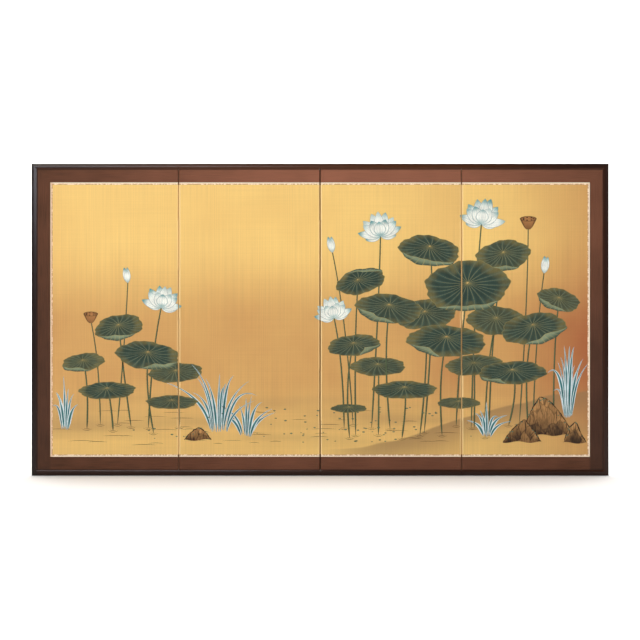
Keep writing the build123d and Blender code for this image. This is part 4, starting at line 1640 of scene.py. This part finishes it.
def paint_pond(painting, settings):
    """The lotuses: leaves, blossoms, buds and seed heads, in one order and from one seed."""
    rng = random.Random(11)
    water = 0.150  # height of the waterline that the stems rise from
    for leaf in leaves():
        heart = leaf_frame(leaf, np.array([0.02]), np.array([0.0]), 0.0)[0]
        foot = (leaf.centre[0] * 0.96 + rng.uniform(-20, 20) * MM, water - rng.uniform(0, 40) * MM)
        lean = rng.uniform(-26, 26) * MM
        if heart[1] - foot[1] > 0.12:
            paint_stem(painting, heart, foot, lean, leaf.layer - 1, settings, rng)
        paint_leaf(painting, leaf, settings, rng)
    for x, z, size, lean, foot in ((176, 700, 68, 8, 150), (470, 736, 72, -6, 440),
                                   (-462, 492, 64, -10, -500), (40, 462, 60, 12, 70)):
        centre = np.array([x, z]) * MM
        paint_stem(painting, centre, (foot * MM, water - 10 * MM), lean * MM, 0, settings, rng)
        paint_blossom(painting, centre, size * MM, lean, 9, rng)
    for x, z, size, lean, foot in ((652, 590, 50, -8, 620), (-560, 562, 46, 8, -590),
                                   (36, 650, 48, 10, 96)):
        centre = np.array([x, z]) * MM
        paint_stem(painting, centre, (foot * MM, water), lean * MM, 0, settings, rng, 0.8)
        paint_bud(painting, centre, size * MM, lean, 9)
    for x, z, size, foot in ((606, 726, 44, 580), (-668, 452, 38, -640)):
        centre = np.array([x, z]) * MM
        paint_stem(painting, centre, (foot * MM, water), 12 * MM, 0, settings, rng, 0.8)
        paint_pod(painting, centre, size * MM, 9)


def paint_water_edge(painting, settings):
    """Reeds, rocks, ripples and floating duckweed along the water."""
    rng = random.Random(5)
    for x, z, height, count, spread in ((-296, 132, 220, 12, 120), (-214, 118, 120, 8, 84),
                                        (722, 172, 236, 11, 54), (-742, 138, 150, 7, 50),
                                        (486, 118, 96, 7, 60)):
        paint_clump(painting, (x * MM, z * MM), height * MM, count, spread * MM, rng)
    for x, z, width, peaks, layer, seed in (
        (664, 118, 156, (62, 112, 104, 76, 38), 7, 3),
        (588, 98, 112, (28, 56, 66, 32), 9, 8),
        (742, 96, 66, (42, 62, 28), 12, 13),
        (-356, 104, 80, (20, 38, 24), 9, 21),
    ):
        paint_rock(painting, (x * MM, z * MM), width * MM, peaks, layer, seed)
    for k in range(44):
        x, z = rng.uniform(-0.76, 0.46), rng.uniform(0.085, 0.19)
        half = rng.uniform(12, 40) * MM
        line = bend((x - half, z), (x, z + rng.uniform(2, 5) * MM), (x + half, z), 9)
        brush(painting, line, rng.uniform(0.7, 1.2) * MM, 0, INK, 1.0, 0.5)
    for k in range(90):
        x, z = rng.gauss(-0.02, 0.30), rng.uniform(0.095, 0.2)
        if abs(x) < 0.7:
            radius = rng.uniform(1.3, 2.8) * MM
            disc(painting, (x, z), (radius * 1.5, radius * 0.7), 1, MOSS, rng.random(), 0.05)


def make_paint(title, draw, settings, colours, offset=0.0):
    """Draws a group of motifs and hands each panel its part.

    offset, in layers, keeps the group's layers out of the planes of another group's.
    """
    painting = Painting(settings, offset)
    draw(painting, settings)
    materials = [bpy.data.materials.get(make.__name__) or make(colours) for make in PIGMENTS]
    for i in PANEL_NUMBERS:
        piece = painting.part(i, f"panel_{i}_painted_{title}", materials)
        if piece:
            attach(piece, f"panel_{i}")


# Stage


def look_at(thing, target):
    """Turns a light or the camera towards a point."""
    thing.rotation_euler = (Vector(target) - thing.location).to_track_quat("-Z", "Y").to_euler()


def softbox(name, place, target, size, watts, code):
    light = bpy.data.lights.new(name, "AREA")
    light.shape = "RECTANGLE"
    light.size, light.size_y = size
    light.energy = watts
    light.color = linear(code)[:3]
    lamp = bpy.data.objects.new(name, light)
    lamp.location = place
    lamp.visible_camera = False
    bpy.context.scene.collection.objects.link(lamp)
    look_at(lamp, target)


def make_backdrop(material):
    """A seamless sweep: a floor that curves up into a wall."""
    half_width, near, wall, height, radius = 20.0, -16.0, 6.5, 7.0, 1.5
    profile = [(near, 0.0)]
    for k in range(17):
        angle = math.pi / 2 * k / 16
        profile.append((wall - radius + radius * math.sin(angle), radius * (1 - math.cos(angle))))
    profile.append((wall, height))
    rows = np.array([[(x, y, z) for x in (-half_width, half_width)] for y, z in profile])
    rows[..., 2] -= 0.3 * MM
    shape = Shape()
    shape.grid(rows, rows[..., :2], rows[..., :2])
    sweep = shape.make("backdrop", [material])


def plain_floor(colours):
    """Matte paper sweep, near white, with a grain too faint to draw the eye."""
    material, add, shader = new_material("plain_floor", Specular_IOR_Level=0.1)
    place = add("TexCoord").outputs["Object"]
    grain = add("TexNoise", Vector=place, Scale=per(3.33), Detail=2.0)
    tone = add("MapRange", grain, *NOISE, 0.985, 1.0)
    tint = toned(add, colours.floor, tone)
    rough = add("MapRange", grain, *NOISE, 0.85, 0.95)
    fill(shader, Base_Color=tint, Roughness=rough)
    return material


# Operators


class PieceOperator(bpy.types.Operator):
    """Shared by the operators that make a group of pieces."""

    bl_options = {"REGISTER"}

    def execute(self, context):
        scene = context.scene
        self.build(scene.byobu_sizes, scene.byobu_colours)
        return {"FINISHED"}


class BYOBU_OT_stage(PieceOperator):
    """Make the floor, the backdrop, the lights and the camera"""

    bl_idname = "byobu.stage"
    bl_label = "Stage"

    def build(self, settings, colours):
        scene = bpy.context.scene
        make_backdrop(plain_floor(colours))
        middle = Vector((0.0, -SIZES.silk_face, (SIZES.body_top + SIZES.body_bottom) / 2))
        softbox("key_light", (-1.75, -4.0, 2.8), middle, (1.3, 1.1), 43.0, "#fff8ee")
        # Long, low and flat, so that it shows as a sheen on the upper left of the moulding
        softbox("sheen_light", (-1.2, -4.0, 1.3), middle, (2.0, 0.3), 36.0, "#f4f6ff")
        softbox("fill_light", (3.4, -3.2, 1.9), middle, (2.6, 2.2), 26.0, "#fbfaff")
        softbox("top_light", (0.0, 1.6, 5.5), (0.0, 1.6, 0.0), (7.0, 4.5), 520.0, "#ffffff")
        softbox("wall_light", (0.0, 3.2, 4.5), (0.0, 6.5, 1.0), (6.0, 1.0), 300.0, "#ffffff")
        world = bpy.data.worlds.new("studio_air")
        scene.world = world
        world.use_nodes = True
        fill(world.node_tree.nodes["Background"], Color=linear("#f3f4f7"), Strength=0.24)
        # An 85 mm lens from 4.4 m, square on
        camera = bpy.data.cameras.new("camera")
        camera.lens, camera.sensor_width = 85.0, 36.0
        viewer = bpy.data.objects.new("camera", camera)
        viewer.location = (-0.3 * MM, -4.409, 453.4 * MM)
        scene.collection.objects.link(viewer)
        look_at(viewer, viewer.location + Vector((0.0, 1.0, 0.0)))
        scene.camera = viewer
        scene.view_settings.view_transform = "Standard"


class BYOBU_OT_moulding(PieceOperator):
    """Give the moulding its lacquer"""

    bl_idname = "byobu.moulding"
    bl_label = "Moulding"

    def build(self, settings, colours):
        lacquer = urushi_lacquer(colours)
        for node in frame["nodes"]:
            if node.endswith(("_top_rail", "_bottom_rail", "_side_stile")):
                dress(node, lacquer)
        for i in PANEL_NUMBERS:
            make_rail_ends(i, lacquer)


class BYOBU_OT_core(PieceOperator):
    """Give the cores, their under-paper and their nails a finish"""

    bl_idname = "byobu.core"
    bl_label = "Cores"

    def build(self, settings, colours):
        upright, level = cedar(colours, "cedar_upright", 2), cedar(colours, "cedar_level", 0)
        finishes = {
            "_core_stiles": upright,
            "_core_rails": level,
            "_lattice": level,
            "_paper": washi(colours),
            "_nails": forged_iron(colours),
        }
        for node in frame["nodes"]:
            for ending, material in finishes.items():
                if node.endswith(ending):
                    dress(node, material)


class BYOBU_OT_silk(PieceOperator):
    """Make the picture silk of each panel"""

    bl_idname = "byobu.silk"
    bl_label = "Picture silk"

    def build(self, settings, colours):
        material = painted_silk(colours)
        for i in PANEL_NUMBERS:
            make_silk(i, material)


class BYOBU_OT_border(PieceOperator):
    """Make the border cloth and the brocade fillet of each panel"""

    bl_idname = "byobu.border"
    bl_label = "Border and fillet"

    def build(self, settings, colours):
        cloth, brocade = border_cloth(colours, settings), brocade_fillet(colours, settings)
        for i in PANEL_NUMBERS:
            make_border(i, cloth, settings, make_fillet(i, brocade, settings))


class BYOBU_OT_back_paper(PieceOperator):
    """Make the printed back paper of each panel"""

    bl_idname = "byobu.back_paper"
    bl_label = "Back paper"

    def build(self, settings, colours):
        material = printed_back_paper(colours, settings)
        for i in PANEL_NUMBERS:
            make_back_paper(i, material)


class BYOBU_OT_hinge_straps(PieceOperator):
    """Make the hinge straps of each seam"""

    bl_idname = "byobu.hinge_straps"
    bl_label = "Hinge straps"

    def build(self, settings, colours):
        names = ("painted_silk", "border_cloth", "printed_back_paper")
        materials = [bpy.data.materials[name] for name in names]
        for seam in range(1, len(PANELS)):
            for from_left in (True, False):
                make_straps(seam, from_left, materials)


class BYOBU_OT_lotus(PieceOperator):
    """Paint the lotus leaves and blossoms"""

    bl_idname = "byobu.lotus"
    bl_label = "Lotus"

    def build(self, settings, colours):
        make_paint("lotus", paint_pond, settings, colours)


class BYOBU_OT_water_edge(PieceOperator):
    """Paint the reeds, rocks and ripples"""

    bl_idname = "byobu.water_edge"
    bl_label = "Water's edge"

    def build(self, settings, colours):
        make_paint("water_edge", paint_water_edge, settings, colours, offset=0.5)


class BYOBU_PT_screen(bpy.types.Panel):
    """Lists the pieces of the folding screen"""

    bl_idname = "BYOBU_PT_screen"
    bl_label = "Byobu"
    bl_space_type = "VIEW_3D"
    bl_region_type = "UI"
    bl_category = "Byobu"

    def draw(self, context):
        for settings in (context.scene.byobu_sizes, context.scene.byobu_colours):
            column = self.layout.column()
            for name in type(settings).__annotations__:
                column.prop(settings, name)
        for operator in OPERATORS:
            self.layout.operator(operator.bl_idname)


OPERATORS = (
    BYOBU_OT_stage,
    BYOBU_OT_moulding,
    BYOBU_OT_core,
    BYOBU_OT_silk,
    BYOBU_OT_border,
    BYOBU_OT_back_paper,
    BYOBU_OT_hinge_straps,
    BYOBU_OT_lotus,
    BYOBU_OT_water_edge,
)
CLASSES = (ByobuSizes, ByobuColours, *OPERATORS, BYOBU_PT_screen)


def register():
    for cls in CLASSES:
        bpy.utils.register_class(cls)
    bpy.types.Scene.byobu_sizes = PointerProperty(type=ByobuSizes)
    bpy.types.Scene.byobu_colours = PointerProperty(type=ByobuColours)


def unregister():
    del bpy.types.Scene.byobu_colours
    del bpy.types.Scene.byobu_sizes
    for cls in reversed(CLASSES):
        bpy.utils.unregister_class(cls)


def main():
    register()
    for operator in OPERATORS:
        group, name = operator.bl_idname.split(".")
        getattr(getattr(bpy.ops, group), name)()


if __name__ == "__main__":
    main()
